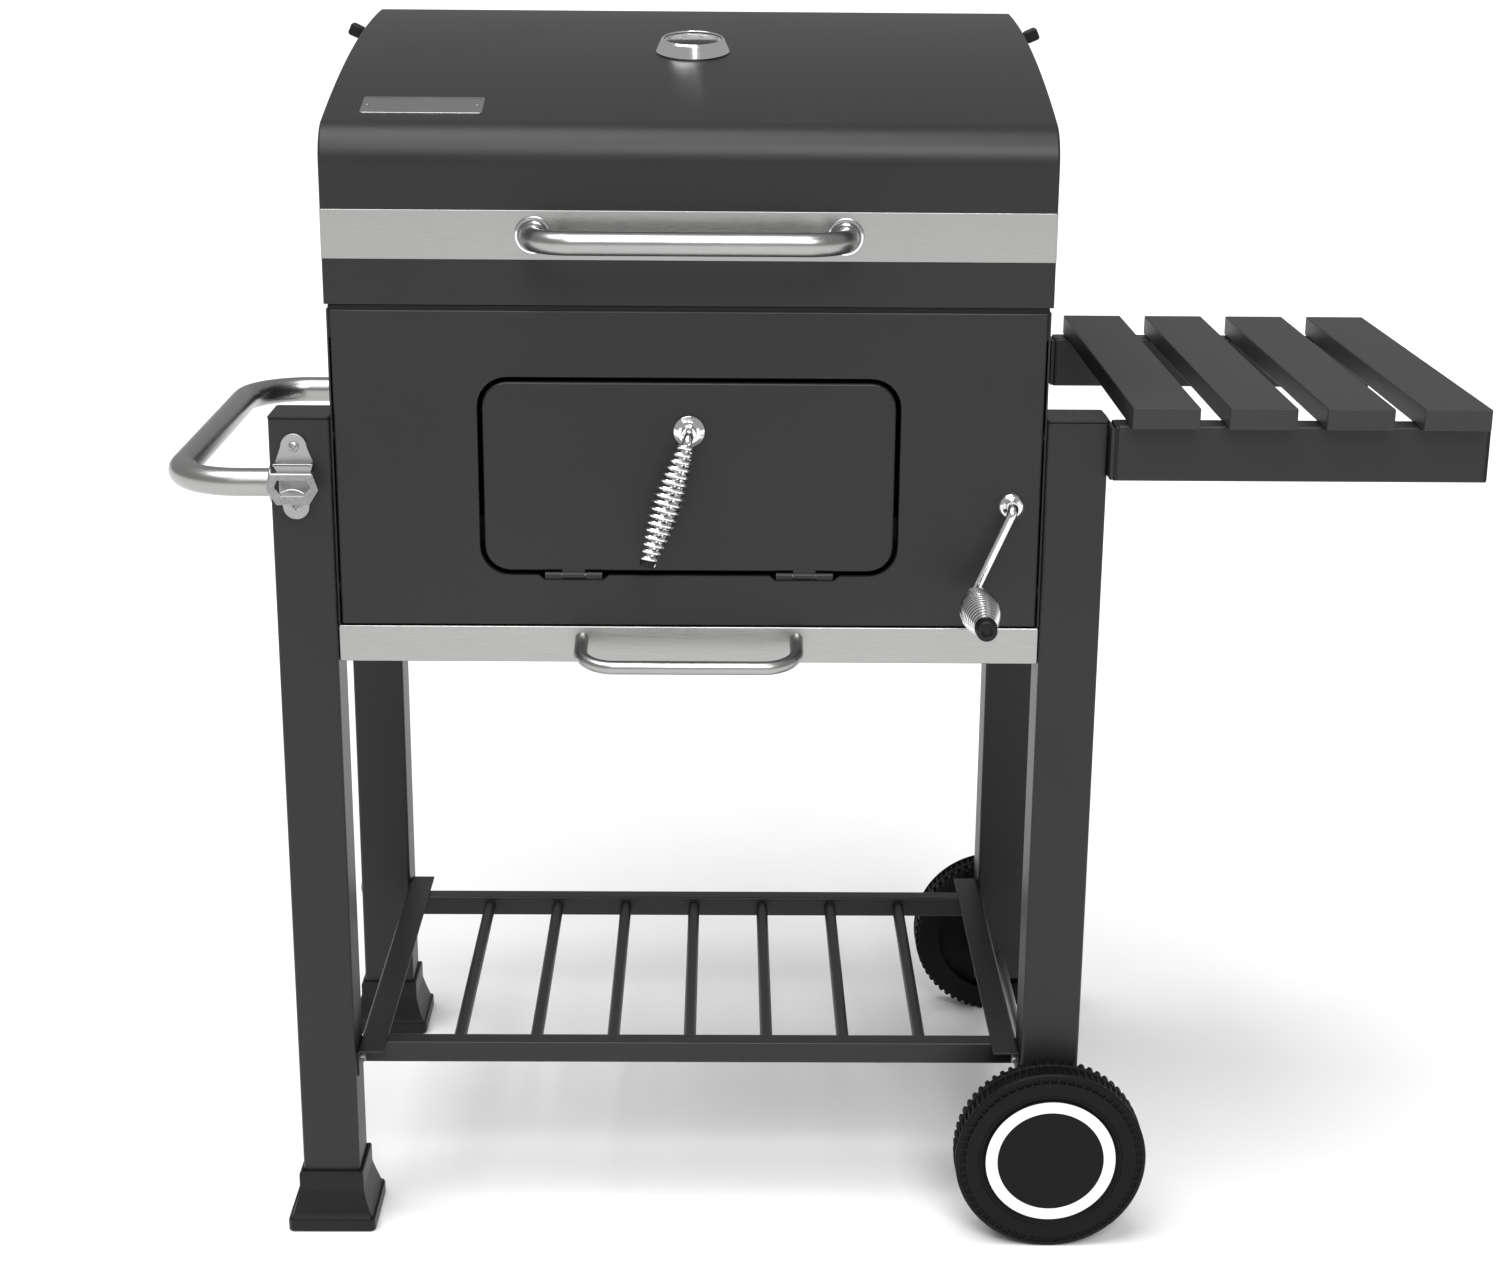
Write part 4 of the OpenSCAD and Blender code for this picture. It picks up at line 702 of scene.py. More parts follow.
class GRILL_OT_side_shelf(Operator):
    """Builds the side shelf: coated slats on two box rails with moulded end caps"""
    bl_idname = "grill.side_shelf"
    bl_label = "Side Shelf"

    def execute(self, context):
        s = sizes()
        low, high = span("shelf_slats")
        count = round((high[0] - low[0] - s.slat_w) / s.slat_pitch) + 1
        starts = low[0] + np.arange(count) * s.slat_pitch
        slats = [block([x, low[1], low[2]], [x + s.slat_w, high[1], high[2]], 1.6, 1.4) for x in starts]
        make_piece("slat_boards", slats, "cart", "slat_paint", "shelf_slats")
        rails = rail_pair("shelf_rails", s.rail_t, 2.5, 0.2)
        make_piece("shelf_box_rails", rails, "cart", "charcoal_paint", "shelf_rails")
        low, high = span("shelf_rails")
        cap_low, cap_high = span("shelf_rail_caps")
        seat, proud = 0.4, 0.2
        caps = []
        for y in (low[1], high[1] - s.rail_t):
            for x0, x1 in ((cap_low[0], low[0] + seat), (high[0] - seat, cap_high[0])):
                caps.append(block([x0, y - proud, low[2] - proud], [x1, y + s.rail_t + proud, high[2]],
                                  3.5, 1.1, "x"))
        make_piece("rail_end_caps", caps, "cart", "black_plastic", "shelf_rail_caps")
        return {"FINISHED"}


class GRILL_OT_bottom_shelf(Operator):
    """Builds the bottom shelf: folded side angles, two box rails and the round bars between them"""
    bl_idname = "grill.bottom_shelf"
    bl_label = "Bottom Shelf"

    def execute(self, context):
        s = sizes()
        low, high = span("low_shelf_sides")
        wall, top = ANGLE_WALL, high[2]
        outside = bent_path([(s.angle_w, 0), (0, 0), (0, -s.angle_w)], 2.8, 6)
        inside = bent_path([(wall, -s.angle_w), (wall, -wall), (s.angle_w, -wall)], 1.0, 4)
        angle = np.vstack([outside, inside])
        solids = []
        for side, x in ((1, low[0]), (-1, high[0])):
            place = stand([0, high[1], 0], X, Z)
            solids.append(prism(angle * [side, 1] + [x, top], place, high[1] - low[1]))
        make_piece("shelf_angles", solids, "cart", "charcoal_paint", "low_shelf_sides", bevel=0.3)
        rails = rail_pair("low_shelf_rails", s.low_rail_t, 1.8, 0.3)
        make_piece("low_box_rails", rails, "cart", "charcoal_paint", "low_shelf_rails")
        low, high = span("low_shelf_bars")
        z = (low[2] + high[2]) / 2
        count = round((high[0] - low[0] - 2 * s.bar_r) / s.bar_pitch) + 1
        steps = low[0] + s.bar_r + np.arange(count) * s.bar_pitch
        bars = [tube(np.array([[x, y, z] for y in (low[1] - 1, high[1] + 1)]), s.bar_r, X) for x in steps]
        make_piece("low_round_bars", bars, "cart", "charcoal_paint", "low_shelf_bars")
        return {"FINISHED"}


# ---- Lid ----
class GRILL_OT_lid(Operator):
    """Builds the lid's sheet: one bent skin from side to side, its edges folded down over the side plates"""
    bl_idname = "grill.lid"
    bl_label = "Lid"

    def execute(self, context):
        s = sizes()
        half = span("lid_sides")[1][0]
        proud, lip, fold = 0.8, 5.0, 2.4
        turn = np.linspace(0, np.pi / 2, 6)
        corner_x = half + proud - fold * (1 - np.cos(turn))
        corner_in = -proud + fold * (1 - np.sin(turn))
        right = np.stack([corner_x, corner_in], axis=1)
        left = right[::-1] * [-1, 1]
        outside = np.vstack([[(half + proud, lip)], right, left, [(-half - proud, lip)]])
        inside = half - s.sheet
        tuck = [(-half, lip), (-half, 0.0), (-inside, 0.0), (-inside, s.sheet),
                (inside, s.sheet), (inside, 0.0), (half, 0.0), (half, lip)]
        section = np.vstack([outside, tuck])
        y, z = lid_outline(s, section[:, 1])
        x = np.broadcast_to(section[:, :1], y.shape)
        rings = np.stack([x, y, z], axis=-1).transpose(1, 0, 2)
        make_piece("lid_skin", [skin(rings)], "lid", "charcoal_paint", "lid_shell")
        return {"FINISHED"}


class GRILL_OT_lid_band(Operator):
    """Builds the steel band: a strip bent round the lid's front with its ends turned on the sides"""
    bl_idname = "grill.lid_band"
    bl_label = "Lid Band"

    def execute(self, context):
        low, high = span("lid_band")
        strip = 1.2
        left, right, front, back = low[0], high[0], low[1], high[1]
        outer = bent_path([(left, back), (left, front), (right, front), (right, back)], 2.6, 5)
        inner = bent_path([(right - strip, back), (right - strip, front + strip),
                           (left + strip, front + strip), (left + strip, back)], 1.4, 5)
        band = prism(np.vstack([outer, inner]), stand([0, 0, low[2]]), high[2] - low[2])
        make_piece("steel_band", [band], "lid", "brushed_stainless", "lid_band", bevel=0.3)
        return {"FINISHED"}


class GRILL_OT_lid_handle(Operator):
    """Builds the lid handle's bent tube and the dished ring round each of its feet"""
    bl_idname = "grill.lid_handle"
    bl_label = "Lid Handle"

    def execute(self, context):
        s = sizes()
        low, high = span("lid_handle")
        z = (low[2] + high[2]) / 2
        foot = span("lid_band")[0][1]
        r = s.lid_handle_r
        path = bow_path([0, foot, z], X, -Y, s.lid_handle_span, foot - low[1] - r, 34)
        make_piece("lid_handle_tube", [tube(path, r, Z, 32)], "lid", "brushed_stainless", "lid_handle")
        dish = [(r + 0.2, 0), (r + 6, 0), (r + 6.2, 1.2), (r + 5.2, 3.2), (r + 3.6, 3.6), (r + 2.4, 2.6),
                (r + 1.6, 1.2), (r + 0.2, 0.8)]
        half = s.lid_handle_span / 2
        rings = [lathe(dish, [x, foot, z], -Y, closed=True) for x in (-half, half)]
        make_piece("handle_rosettes", rings, "lid", "chrome", "lid_handle_rings")
        return {"FINISHED"}


THERMOMETER_Y = 218.0  # how far the thermometer stands behind the firebox's front
DIAL_START, DIAL_SWEEP = math.radians(-135), math.radians(270)


def radial_bars(place, count, near, far, width, rise):
    """Flat bars pointing to the middle of the dial, spread evenly over its sweep, each a low box."""
    a = (DIAL_START + DIAL_SWEEP * np.linspace(0, 1, count))[:, None]
    across = np.array([-1, 1, 1, -1] * 2) * width / 2
    out = np.array([near, near, far, far] * 2)
    n = np.array([rise[0]] * 4 + [rise[1]] * 4) * np.ones_like(a)
    u = out * np.sin(a) + across * np.cos(a)
    v = out * np.cos(a) - across * np.sin(a)
    box = np.array([(0, 1, 2, 3), (7, 6, 5, 4), (0, 4, 5, 1), (1, 5, 6, 2), (2, 6, 7, 3), (3, 7, 4, 0)])
    quads = (box[None] + 8 * np.arange(count)[:, None, None]).reshape(-1, 4)
    return on_stand(place, u, v, n).reshape(-1, 3), quads, []


class GRILL_OT_thermometer(Operator):
    """Builds the lid thermometer: a flared bezel and stem, a printed dial, a needle and a domed glass"""
    bl_idname = "grill.thermometer"
    bl_label = "Thermometer"

    def execute(self, context):
        place = crown_stand(sizes(), 0.0, THERMOMETER_Y, 0.4)
        origin, u, v, n = place
        bezel = bent_path([(33, 0), (34, 1.6), (29, 11.6), (27.4, 13), (26.4, 13), (26.2, 11.8)], 0.5, 3)
        profile = np.vstack([[(0, -55), (2.5, -55), (4, -51), (4, 0)], bezel, [(26.2, 4), (0, 4)]])
        nut = [(4.2, -12), (8, -12), (8, -6), (4.2, -6)]
        solids = [lathe(profile, origin, n), lathe(nut, origin, n, 6, closed=True)]
        make_piece("thermometer_bezel", solids, "lid", "chrome", "thermometer_case")
        dial = [(0, 4), (26, 4), (26, 4.8), (25.6, 5), (0, 5)]
        make_piece("dial_disc", [lathe(dial, origin, n)], "lid", "dial_white", "thermometer_dial")
        marks = [radial_bars(place, 55, 20.5, 22.5, 0.35, (5, 5.12)),
                 radial_bars(place, 10, 17.5, 22.5, 0.8, (5, 5.14))]
        for inside, outside in ((23.2, 23.8), (5.6, 6)):
            circle = [(inside, 5), (outside, 5), (outside, 5.12), (inside, 5.12)]
            marks.append(lathe(circle, origin, n, closed=True))
        make_piece("dial_marks", marks, "lid", "black_plastic")
        glass_r = 25.9
        t = np.linspace(1, 0, 8)
        dome = np.stack([glass_r * t, 11 + 1.9 * (1 - t ** 2)], axis=1)
        glass = lathe(np.vstack([[(0, 10), (glass_r, 10)], dome]), origin, n)
        make_piece("domed_glass", [glass], "lid", "clear_glass", "thermometer_glass")
        pointer = [(-1.2, -8), (1.2, -8), (1.0, 0), (0.15, 19.5), (-0.15, 19.5), (-1.0, 0)]
        boss = [(0, 5.05), (1.1, 5.05), (1.1, 5.8), (2.4, 5.8), (2.4, 6.2), (1.6, 6.6), (0, 6.6)]
        needle = [prism(pointer, stand(origin + 5.6 * n, u, v), 0.4), lathe(boss, origin, n, 24)]
        make_piece("dial_needle", needle, "needle", "needle_red", "thermometer_needle")
        return {"FINISHED"}


# The blank plate's place on the lid, its width and its height
PLATE_X, PLATE_Y, PLATE_W, PLATE_H = -229.0, 58.5, 104.0, 38.0


class GRILL_OT_name_plate(Operator):
    """Builds the blank plate on the lid: a raised border round a flat field"""
    bl_idname = "grill.name_plate"
    bl_label = "Blank Plate"

    def execute(self, context):
        place = crown_stand(sizes(), PLATE_X, PLATE_Y, 0.15)
        profile = [(0, 0), (0, 0.7), (0.3, 1.0), (2.2, 1.0), (2.6, 0.7)]
        plate = loft(PLATE_W, PLATE_H, 2.5, profile, place)
        make_piece("blank_plate", [plate], "lid", "brushed_stainless", "name_plate")
        return {"FINISHED"}


class GRILL_OT_vent_knobs(Operator):
    """Builds the two vent knobs: blocks that flare outwards and lean up"""
    bl_idname = "grill.vent_knobs"
    bl_label = "Vent Knobs"

    def execute(self, context):
        lean, clear, drop = math.radians(24), 0.6, 1.5
        profile = [(1.6, 0), (1.6, 3), (0.2, 6), (0, 14.5), (0.7, 16.4), (2.2, 17.2)]
        for name, side in (("left", -1), ("right", 1)):
            low, high = span(name + "_vent_knob")
            inner = high[0] if side < 0 else low[0]
            out = math.cos(lean) * side * X + math.sin(lean) * Z
            centre = [inner + clear * side, (low[1] + high[1]) / 2, (low[2] + high[2]) / 2 - drop]
            place = stand(centre, Y * side, np.cross(out, Y * side))
            knob = loft(high[1] - low[1], high[2] - low[2], 2.5, profile, place)
            make_piece(name + "_knob", [knob], "vent_" + name, "black_plastic", name + "_vent_knob")
        return {"FINISHED"}


class GRILL_OT_lid_screws(Operator):
    """Builds the screws of the band and the vents' rivets"""
    bl_idname = "grill.lid_screws"
    bl_label = "Lid Screws"

    def execute(self, context):
        s = sizes()
        band_low, band_high = span("lid_band")
        vent_low, vent_high = span("right_vent")
        vent = (vent_low + vent_high) / 2
        middle = (band_low[2] + band_high[2]) / 2
        solids = []
        for side in (-1, 1):
            for step in (-14, 14):
                place = [side * band_high[0], band_high[1] - 12, middle + step]
                solids.append(screw_head(place, side * X, 4.0, 2.0))
            face, back = vent_high[0] + 0.3, span("lid_sides")[1][0] - s.sheet
            solids.append(screw_head([side * face, vent[1], vent[2]], side * X, 6.0, 1.6))
            solids.append(screw_head([side * back, vent[1], vent[2]], -side * X, 5.0, 2.4))
            rivet = crown_stand(s, PLATE_X + side * (PLATE_W / 2 - 5), PLATE_Y, 0.8)
            solids.append(screw_head(rivet[0], rivet[3], 1.8, 0.7))
        make_piece("lid_screws", solids, "lid", "zinc_steel", "lid_rivets")
        return {"FINISHED"}


# ---- Charcoal door ----
class GRILL_OT_door(Operator):
    """Builds the charcoal door: a folded pan with its hinge knuckles"""
    bl_idname = "grill.door"
    bl_label = "Charcoal Door"

    def execute(self, context):
        s = sizes()
        skirt, barrel = 6.0, 2.8
        axis_y, axis_z = s.sheet / 2, span("door_hinge_brackets")[1][2] - barrel
        half = s.hinge_l / 5
        solids = [pan(s.door_w, s.door_h, skirt, s.door_corner, 2.4, 1.2, stand(door_centre(), X, Z))]
        knuckles = []
        for x in (-s.hinge_span / 2, s.hinge_span / 2):
            solids.append(block([x - half, 0.2, axis_z], [x + half, 1.4, axis_z + 8], 0.3, 0.3))
            ends = np.array([[x - half, axis_y, axis_z], [x + half, axis_y, axis_z]])
            knuckles.append(tube(ends, barrel, Y))
        make_piece("door_pan", solids, "door", "charcoal_paint", "door_panel")
        make_piece("door_knuckles", knuckles, "door", "charcoal_paint")
        return {"FINISHED"}


# The door grip's lean to the left and its tilt outwards, and how far the latch is turned back at rest
GRIP_LEAN, GRIP_OUT = math.radians(18.5), math.radians(10.8)
LATCH_TURN = math.radians(75)


class GRILL_OT_door_handle(Operator):
    """Builds the door's turning handle: collar, bent rod, latch tongue and a capped grip of sprung wire"""
    bl_idname = "grill.door_handle"
    bl_label = "Door Handle"

    def execute(self, context):
        low, high = span("door_ring")
        hub = np.array([(low[0] + high[0]) / 2, 0.0, (low[2] + high[2]) / 2])
        along = np.array([-math.cos(GRIP_OUT) * math.sin(GRIP_LEAN), -math.sin(GRIP_OUT),
                          -math.cos(GRIP_OUT) * math.cos(GRIP_LEAN)])
        bend = hub - 30 * Y
        start, reach = bend + 7 * along, 106
        collar = bent_path([(0, 0), (14, 0), (14, 3.5), (9.5, 7.6), (6.4, 8.2), (6.4, 13), (0, 13)],
                           [0.3, 2.4, 1.5, 0.8, 1.0], 5)
        make_piece("door_collar", [lathe(collar, hub, -Y)], "door", "chrome", "door_ring")
        path = bent_path([hub + 9 * Y, bend, start + (reach + 2) * along], 6, 10)
        rod = tube(path, 4, unit(np.cross(-Y, along)), 20)
        make_piece("door_rod", [rod], "door_handle", "chrome", "door_handle_rod")
        tongue = math.cos(LATCH_TURN) * Z - math.sin(LATCH_TURN) * X
        boss = lathe([(4.2, 1.8), (8, 1.8), (8.6, 2.6), (8.6, 6.8), (4.2, 6.8)], hub, Y, 32, closed=True)
        across, lengthwise = rounded_outline(14, 62, 3)
        strip = np.stack([across[0], lengthwise[0] + 27], axis=1)
        solids = [boss, prism(strip, stand(hub + 6.6 * Y, np.cross(tongue, Y), tongue), 2)]
        make_piece("latch_tongue", solids, "door_handle", "zinc_steel", "door_latch", bevel=0.3)
        spring = coil(start, along, reach, 17, sizes().wire_r, 7.4, 14.8)
        make_piece("door_spring", [spring], "door_handle", "chrome", "door_grip")
        cap = bent_path([(0, -5), (6, -5), (6.6, 0), (5.9, 3.4), (0, 3.8)], [0.6, 1.0, 1.2], 4)
        cap = lathe(cap, start + reach * along, along)
        make_piece("door_grip_cap", [cap], "door_handle", "black_plastic")
        return {"FINISHED"}


# ---- Crank ----
class GRILL_OT_crank(Operator):
    """Builds the crank: shaft, arm and pin in one bent bar, its grip of sprung wire, its cap and bushings"""
    bl_idname = "grill.crank"
    bl_label = "Crank"

    def execute(self, context):
        rod_low, rod_high = span("crank_rod")
        bush_low, bush_high = span("crank_bushings")
        x, _, z = (bush_low + bush_high) / 2
        end_x, end_z = rod_low[0] + 4, rod_low[2] + 4
        out, pin_end = -18.0, rod_low[1]
        path = bent_path([(x, rod_high[1], z), (x, out, z), (end_x, out, end_z), (end_x, pin_end, end_z)], 7)
        arm = unit(np.array([end_x - x, 0, end_z - z]))
        shaft_r, pin_r = 5, 4.2
        radius = np.concatenate([[shaft_r], np.linspace(shaft_r, pin_r, 11), np.full(12, pin_r)])
        make_piece("crank_bar", [tube(path, radius, np.cross(Y, arm), 20)], "crank", "chrome", "crank_rod")
        start = np.array([end_x, out - 11, end_z])
        reach = start[1] - pin_end
        spring = coil(start, -Y, reach, 22, sizes().wire_r, 8.6, 17.5)
        make_piece("crank_spring", [spring], "crank", "chrome", "crank_grip")
        cap = bent_path([(0, -3), (9, -3), (9.6, 2), (8.8, 13), (4.6, 13.6), (4, 11.4), (0, 11)],
                        [0.8, 1.5, 2.0, 0.5, 0.4], 4)
        make_piece("crank_cap", [lathe(cap, start - reach * Y, -Y)], "crank", "black_plastic")
        collar = [(5.2, 0), (11, 0), (11.2, 1.2), (10, 3.2), (8.4, 4), (7, 3.4), (5.2, 3.2)]
        solids = [lathe(collar, [x, 0, z], -Y, closed=True)]
        seat = [(5.2, 0), (12, 0), (12, 6.5), (10.8, 8), (5.2, 8)]
        solids.append(lathe(seat, [x, bush_high[1], z], -Y, closed=True))
        make_piece("crank_collars", solids, "cart", "chrome", "crank_bushings")
        return {"FINISHED"}


# ---- Ash drawer ----
class GRILL_OT_ash_drawer(Operator):
    """Builds the ash drawer: a folded steel front, its tray and the drooping bar handle"""
    bl_idname = "grill.ash_drawer"
    bl_label = "Ash Drawer"

    def execute(self, context):
        s = sizes()
        low, high = span("ash_drawer")
        middle = (low[2] + high[2]) / 2
        front = pan(high[0] - low[0], high[2] - low[2], 10.5, 1.6, 1.1, 1.2, stand([0, low[1], middle], X, Z))
        side, floor, top, skirt = 14.0, low[2] + 2.3, high[2] - 6, 0.6
        depth = high[1] - skirt
        tray = pan(high[0] - low[0] - 2 * side, depth, top - floor, 3, 1.5, 1.0,
                   stand([0, skirt + depth / 2, floor], X, -Y))
        make_piece("drawer_pan", [front, tray], "drawer", "brushed_stainless", "ash_drawer")
        droop = math.radians(11)
        out = np.array([0, -math.cos(droop), -math.sin(droop)])
        path = bow_path([0, low[1], middle + 5], X, out, s.drawer_span, 53, 30)
        bar = tube(path, s.drawer_bar_r, np.cross(X, out), 28)
        make_piece("drawer_bar", [bar], "drawer", "brushed_stainless", "drawer_handle")
        return {"FINISHED"}


# ---- Wheels ----
# The combs that cut the tread: teeth round the wheel, and how wide each comb's teeth are
KNOB, RIB, NOTCH = 0, 1, 2
TEETH, TOOTH_SHARE = np.array([64, 80, 64])[:, None], np.array([0.0, 0.15, 0.5])[:, None]
WHEEL_COLUMNS, CAP_SIDES = 640, 96
# The tyre's section: radius less the wheel's, place across a tyre 36 wide, cut towards the axle, cut
# along the axle, and the comb that the cuts follow. The first six rows keep to the inner face.
TYRE_WIDTH, INNER_ROWS = 36, 6
TYRE_SECTION = np.array([
    (-26, 1.5, 0, 0, KNOB), (-15, 0.2, 0, 0, KNOB), (-7.4, 0.4, 0, 0, KNOB), (-7.0, 0.6, 2.0, 0, KNOB),
    (-1.4, 1.4, 2.8, 0, KNOB), (-0.5, 2.2, 2.8, 0, KNOB), (-0.2, 7, 2.8, 0, KNOB), (-0.5, 11.6, 2.8, 0, KNOB),
    (-0.9, 12.2, 2.0, 0, KNOB), (-0.8, 12.4, 0, 0, KNOB), (0, 12.9, 0, 0, KNOB), (0, 14.7, 0, 0, KNOB),
    (-0.8, 15.3, 0, 0, RIB), (-1.0, 15.5, 2.0, 0, RIB), (-0.6, 23.5, 2.3, 0, RIB), (-1.0, 31.4, 2.0, 0, RIB),
    (-0.9, 31.8, 0, 0, RIB), (-0.1, 32.3, 0, 0, RIB), (-0.1, 34.1, 0, 0, RIB), (-0.9, 35.2, 0, 0, RIB),
    (-2.4, 35.9, 0, 0, RIB), (-4.3, 36, 0, 0, NOTCH), (-4.7, 36, 0, 1.5, NOTCH), (-8.8, 35.8, 0, 1.9, NOTCH),
    (-9.3, 35.8, 0, 0, NOTCH), (-15, 35.6, 0, 0, NOTCH), (-21.6, 35.0, 0, 0, NOTCH),
    (-22.0, 34.4, 0, 0, NOTCH), (-22.6, 34.3, 0, 0, NOTCH), (-23.0, 34.8, 0, 0, NOTCH)])


def wheel_surface(radius, width, cap_r, centre, out):
    """The tyre and its disc: a closed section turned about the axle, less a comb's cuts. A comb is a steep
    wave of the angle with a whole number of teeth."""
    turn = np.linspace(0, 2 * np.pi, WHEEL_COLUMNS, endpoint=False)
    combs = 0.5 + 0.5 * np.tanh(5 * (np.cos(TEETH * turn) + TOOTH_SHARE))
    tyre = TYRE_SECTION + [radius, 0, 0, 0, 0]
    tyre[INNER_ROWS:, 1] += width - TYRE_WIDTH
    dish = radius - 27
    disc = np.array([(cap_r + 2.6, width - 1.4), (cap_r + 1.8, width - 2.2), (cap_r + 0.5, width - 2.4),
                     (cap_r + 0.4, width - 6), (dish - 3, width - 6), (dish - 3, 16), (14, 16),
                     (14, width - 5), (5.1, width - 5), (5.1, 0), (14, 0), (14, 12), (dish + 1, 12),
                     (dish + 1, 2.2)])
    rows = np.vstack([tyre, np.pad(disc, ((0, 0), (0, 3)))])
    wave = combs[rows[:, 4].astype(int)]
    r = rows[:, :1] - rows[:, 2:3] * wave
    across = rows[:, 1:2] - rows[:, 3:4] * wave
    spoke = np.cos(turn)[None, :, None] * np.cross(out, Z) + np.sin(turn)[None, :, None] * Z
    return skin(np.array(centre) + across[..., None] * out + r[..., None] * spoke, closed=True)


class GRILL_OT_wheels(Operator):
    """Builds both wheels: ribbed tyre and disc, the white ring and the plain hub cap"""
    bl_idname = "grill.wheels"
    bl_label = "Wheels"

    def execute(self, context):
        s = sizes()
        for name, out in (("front", -Y), ("rear", Y)):
            low, high = span(name + "_wheel")
            radius, width = (high[2] - low[2]) / 2, high[1] - low[1]
            inner = high[1] if out[1] < 0 else low[1]
            centre = [(low[0] + high[0]) / 2, inner, (low[2] + high[2]) / 2]
            body = "wheel_" + name
            cap_r = s.cap_ring_out + 1.1  # the hub cap's edge stands this far outside its ring
            tyre = wheel_surface(radius, width, cap_r, centre, out)
            make_piece(name + "_tyre", [tyre], body, "wheel_plastic", name + "_wheel")
            t = np.linspace(1, 0, 10)
            dome = np.stack([s.cap_ring_in * t, width - 0.9 + 0.5 * np.sqrt(1 - (0.98 * t) ** 2)], axis=1)
            ring_in, ring_out = s.cap_ring_in, s.cap_ring_out
            edge = [(0, width - 3.2), (cap_r, width - 3.2), (cap_r, width - 1.0), (cap_r - 0.5, width - 0.5),
                    (ring_out, width - 0.5), (ring_out, width - 1.2), (ring_in, width - 1.2)]
            cap = lathe(np.vstack([edge, dome]), centre, out, CAP_SIDES)
            make_piece(name + "_hub_cap", [cap], body, "wheel_plastic")
            ring = bent_path([(ring_in, width - 1.4), (ring_in + 0.1, width - 0.3),
                              (ring_out - 0.1, width - 0.3), (ring_out, width - 1.4)], 0.25, 3)
            ring = lathe(ring, centre, out, CAP_SIDES, closed=True)
            make_piece(name + "_white_ring", [ring], body, "dial_white")
        return {"FINISHED"}


# ---- Stage ----
CAMERA_PLACE = (30.5, -2144.4, 1234.6)
CAMERA_YAW, CAMERA_PITCH, CAMERA_ROLL = 0.011, -0.297, 0.008
CAMERA_LENS, SENSOR = 60.62, 36.0
FLOOR_HALF = 40.0  # metres from the floor's middle to its edge
# Each sun's name, where it shines from, its strength and its softness in degrees
SUNS = (("Key", (-0.25, -0.22, 0.94), 2.5, 44), ("Front", (0.10, -0.75, 0.66), 1.6, 22))
SKY_STRENGTH = 0.4


def aim(obj, place, forward, up):
    """Puts an object at a place, its -Z along forward and its +Y as near to up as it can be."""
    right = unit(np.cross(forward, up))
    up = np.cross(right, forward)
    turn = np.stack([right, up, -forward], axis=1)
    spot = np.array(place) * MM + BENCH
    obj.matrix_world = Matrix.Translation(Vector(spot)) @ Matrix(turn.tolist()).to_4x4()


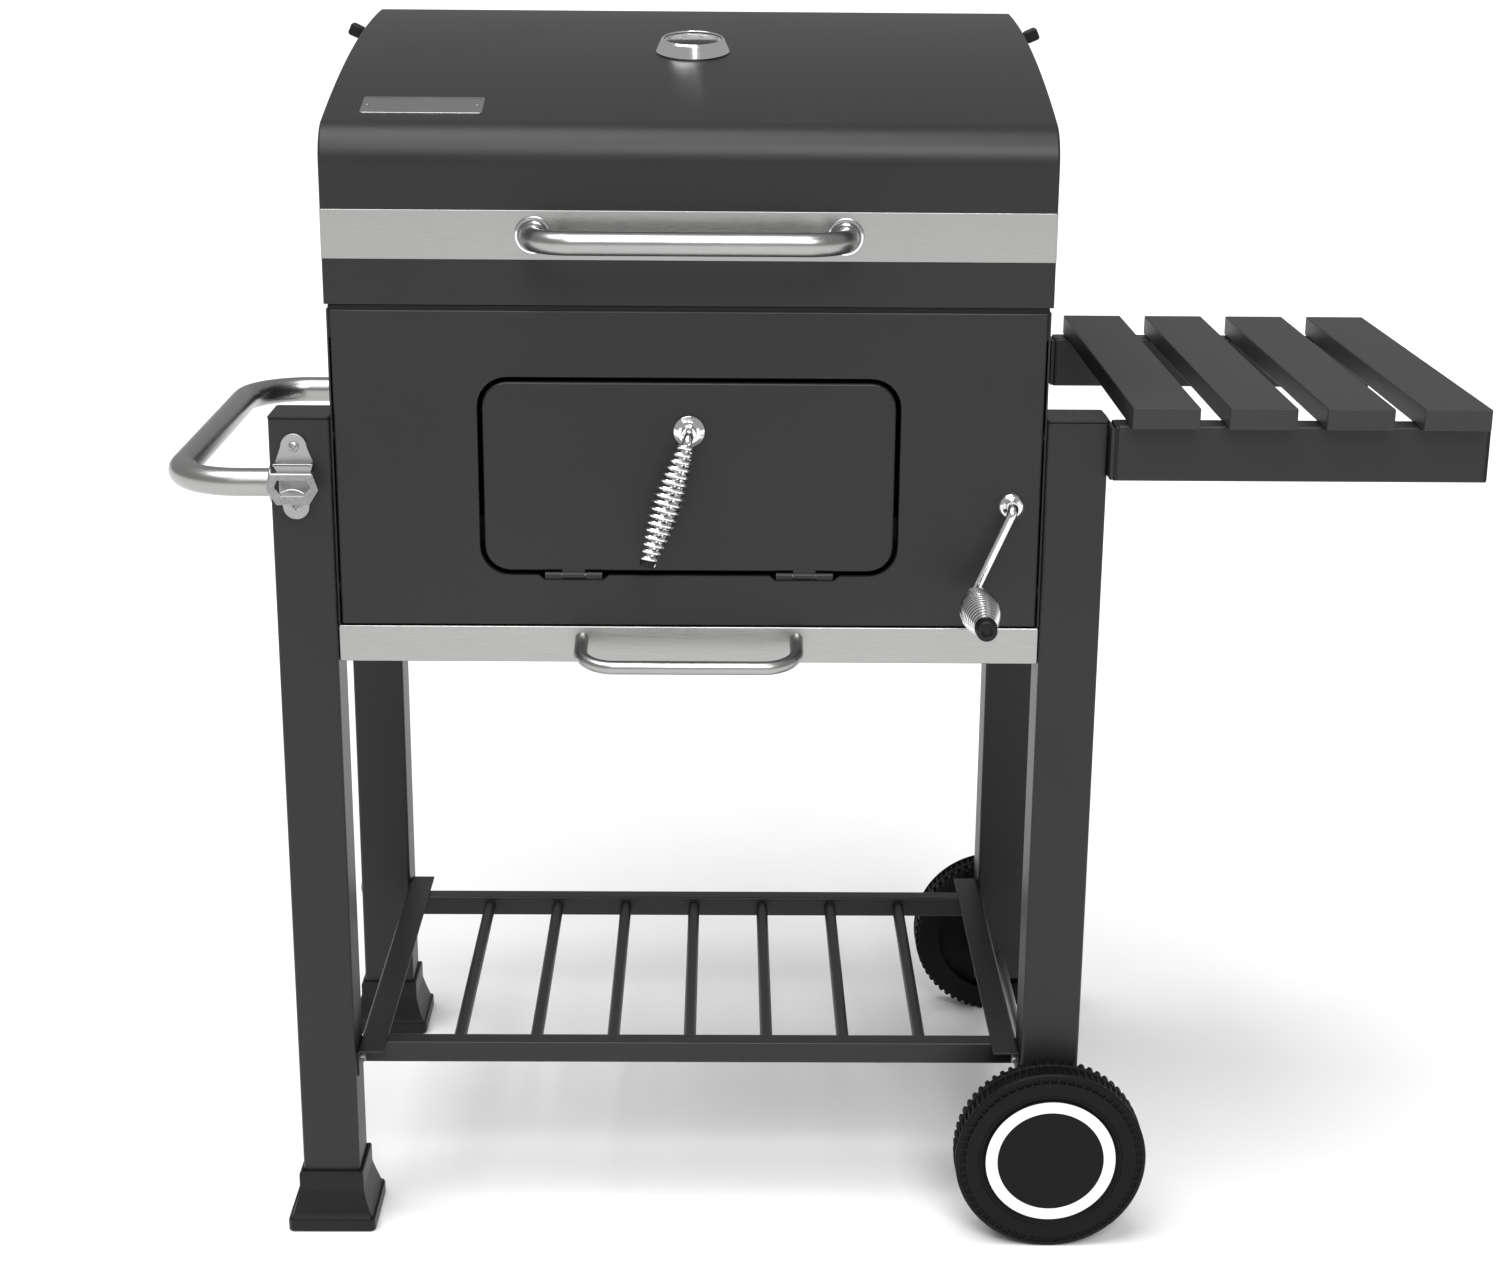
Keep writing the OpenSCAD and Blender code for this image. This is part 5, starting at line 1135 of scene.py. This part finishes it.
class GRILL_OT_stage(Operator):
    """Sets up the pale floor, the soft lights and the camera"""
    bl_idname = "grill.stage"
    bl_label = "Stage"

    def execute(self, context):
        scene = context.scene
        forward = np.array([math.sin(CAMERA_YAW) * math.cos(CAMERA_PITCH),
                            math.cos(CAMERA_YAW) * math.cos(CAMERA_PITCH), math.sin(CAMERA_PITCH)])
        right = np.array([math.cos(CAMERA_YAW), -math.sin(CAMERA_YAW), 0.0])
        up = math.cos(CAMERA_ROLL) * np.cross(right, forward) - math.sin(CAMERA_ROLL) * right
        view = bpy.data.cameras.new("Camera")
        view.lens = CAMERA_LENS
        view.sensor_width = SENSOR
        view.sensor_fit = "HORIZONTAL"
        view.clip_end = 200
        camera = bpy.data.objects.new("Camera", view)
        scene.collection.objects.link(camera)
        aim(camera, CAMERA_PLACE, forward, up)
        scene.camera = camera

        corners = [(x * FLOOR_HALF, y * FLOOR_HALF, 0) for x, y in ((-1, -1), (1, -1), (1, 1), (-1, 1))]
        mesh = bpy.data.meshes.new("Floor")
        mesh.from_pydata(corners, [], [(0, 1, 2, 3)])
        pale = finish("Pale floor", scene.grill_colours.floor, 0.0, 0.7, 4.0, 0.0, shade=0.01)
        mesh.materials.append(pale)
        floor = bpy.data.objects.new("Floor", mesh)
        scene.collection.objects.link(floor)

        for name, source, strength, softness in SUNS:
            lamp = bpy.data.lights.new(name, "SUN")
            lamp.energy = strength
            lamp.angle = math.radians(softness)
            light = bpy.data.objects.new(name, lamp)
            scene.collection.objects.link(light)
            source = np.array(source)
            aim(light, 3000 * source, -unit(source), Y)

        world = bpy.data.worlds.new("Studio")
        scene.world = world
        world.use_nodes = True
        sky = world.node_tree.nodes["Background"]
        sky.inputs["Color"].default_value = (1.0, 1.0, 1.0, 1.0)
        sky.inputs["Strength"].default_value = SKY_STRENGTH
        scene.view_settings.view_transform = "Standard"
        return {"FINISHED"}


class GRILL_OT_frame(Operator):
    """Paints the parts of the CAD frame that stay in view"""
    bl_idname = "grill.frame"
    bl_label = "Frame Finishes"

    def execute(self, context):
        FINISHES.update(make_finishes())
        paint_frame()
        return {"FINISHED"}


OPERATORS = (
    GRILL_OT_frame, GRILL_OT_legs, GRILL_OT_feet, GRILL_OT_front_panel, GRILL_OT_side_handle,
    GRILL_OT_bottle_opener, GRILL_OT_bolts, GRILL_OT_side_shelf, GRILL_OT_bottom_shelf, GRILL_OT_lid,
    GRILL_OT_lid_band, GRILL_OT_lid_handle, GRILL_OT_thermometer, GRILL_OT_name_plate, GRILL_OT_vent_knobs,
    GRILL_OT_lid_screws, GRILL_OT_door, GRILL_OT_door_handle, GRILL_OT_crank, GRILL_OT_ash_drawer,
    GRILL_OT_wheels, GRILL_OT_stage,
)


class GRILL_PT_panel(Panel):
    """Lists the grill's sizes, colours and builders"""
    bl_label = "Trolley Grill"
    bl_idname = "GRILL_PT_panel"
    bl_space_type = "VIEW_3D"
    bl_region_type = "UI"
    bl_category = "Grill"

    def draw(self, context):
        for group in (context.scene.grill_sizes, context.scene.grill_colours):
            column = self.layout.column()
            for key in group.__annotations__:
                column.prop(group, key)
        for operator in OPERATORS:
            self.layout.operator(operator.bl_idname)


CLASSES = (GrillSizes, GrillColours, *OPERATORS, GRILL_PT_panel)


def register():
    for cls in CLASSES:
        bpy.utils.register_class(cls)
    bpy.types.Scene.grill_sizes = PointerProperty(type=GrillSizes)
    bpy.types.Scene.grill_colours = PointerProperty(type=GrillColours)


def unregister():
    del bpy.types.Scene.grill_colours
    del bpy.types.Scene.grill_sizes
    for cls in reversed(CLASSES):
        bpy.utils.unregister_class(cls)


def main():
    register()
    for operator in OPERATORS:
        family, name = operator.bl_idname.split(".")
        getattr(getattr(bpy.ops, family), name)()


if __name__ == "__main__":
    main()
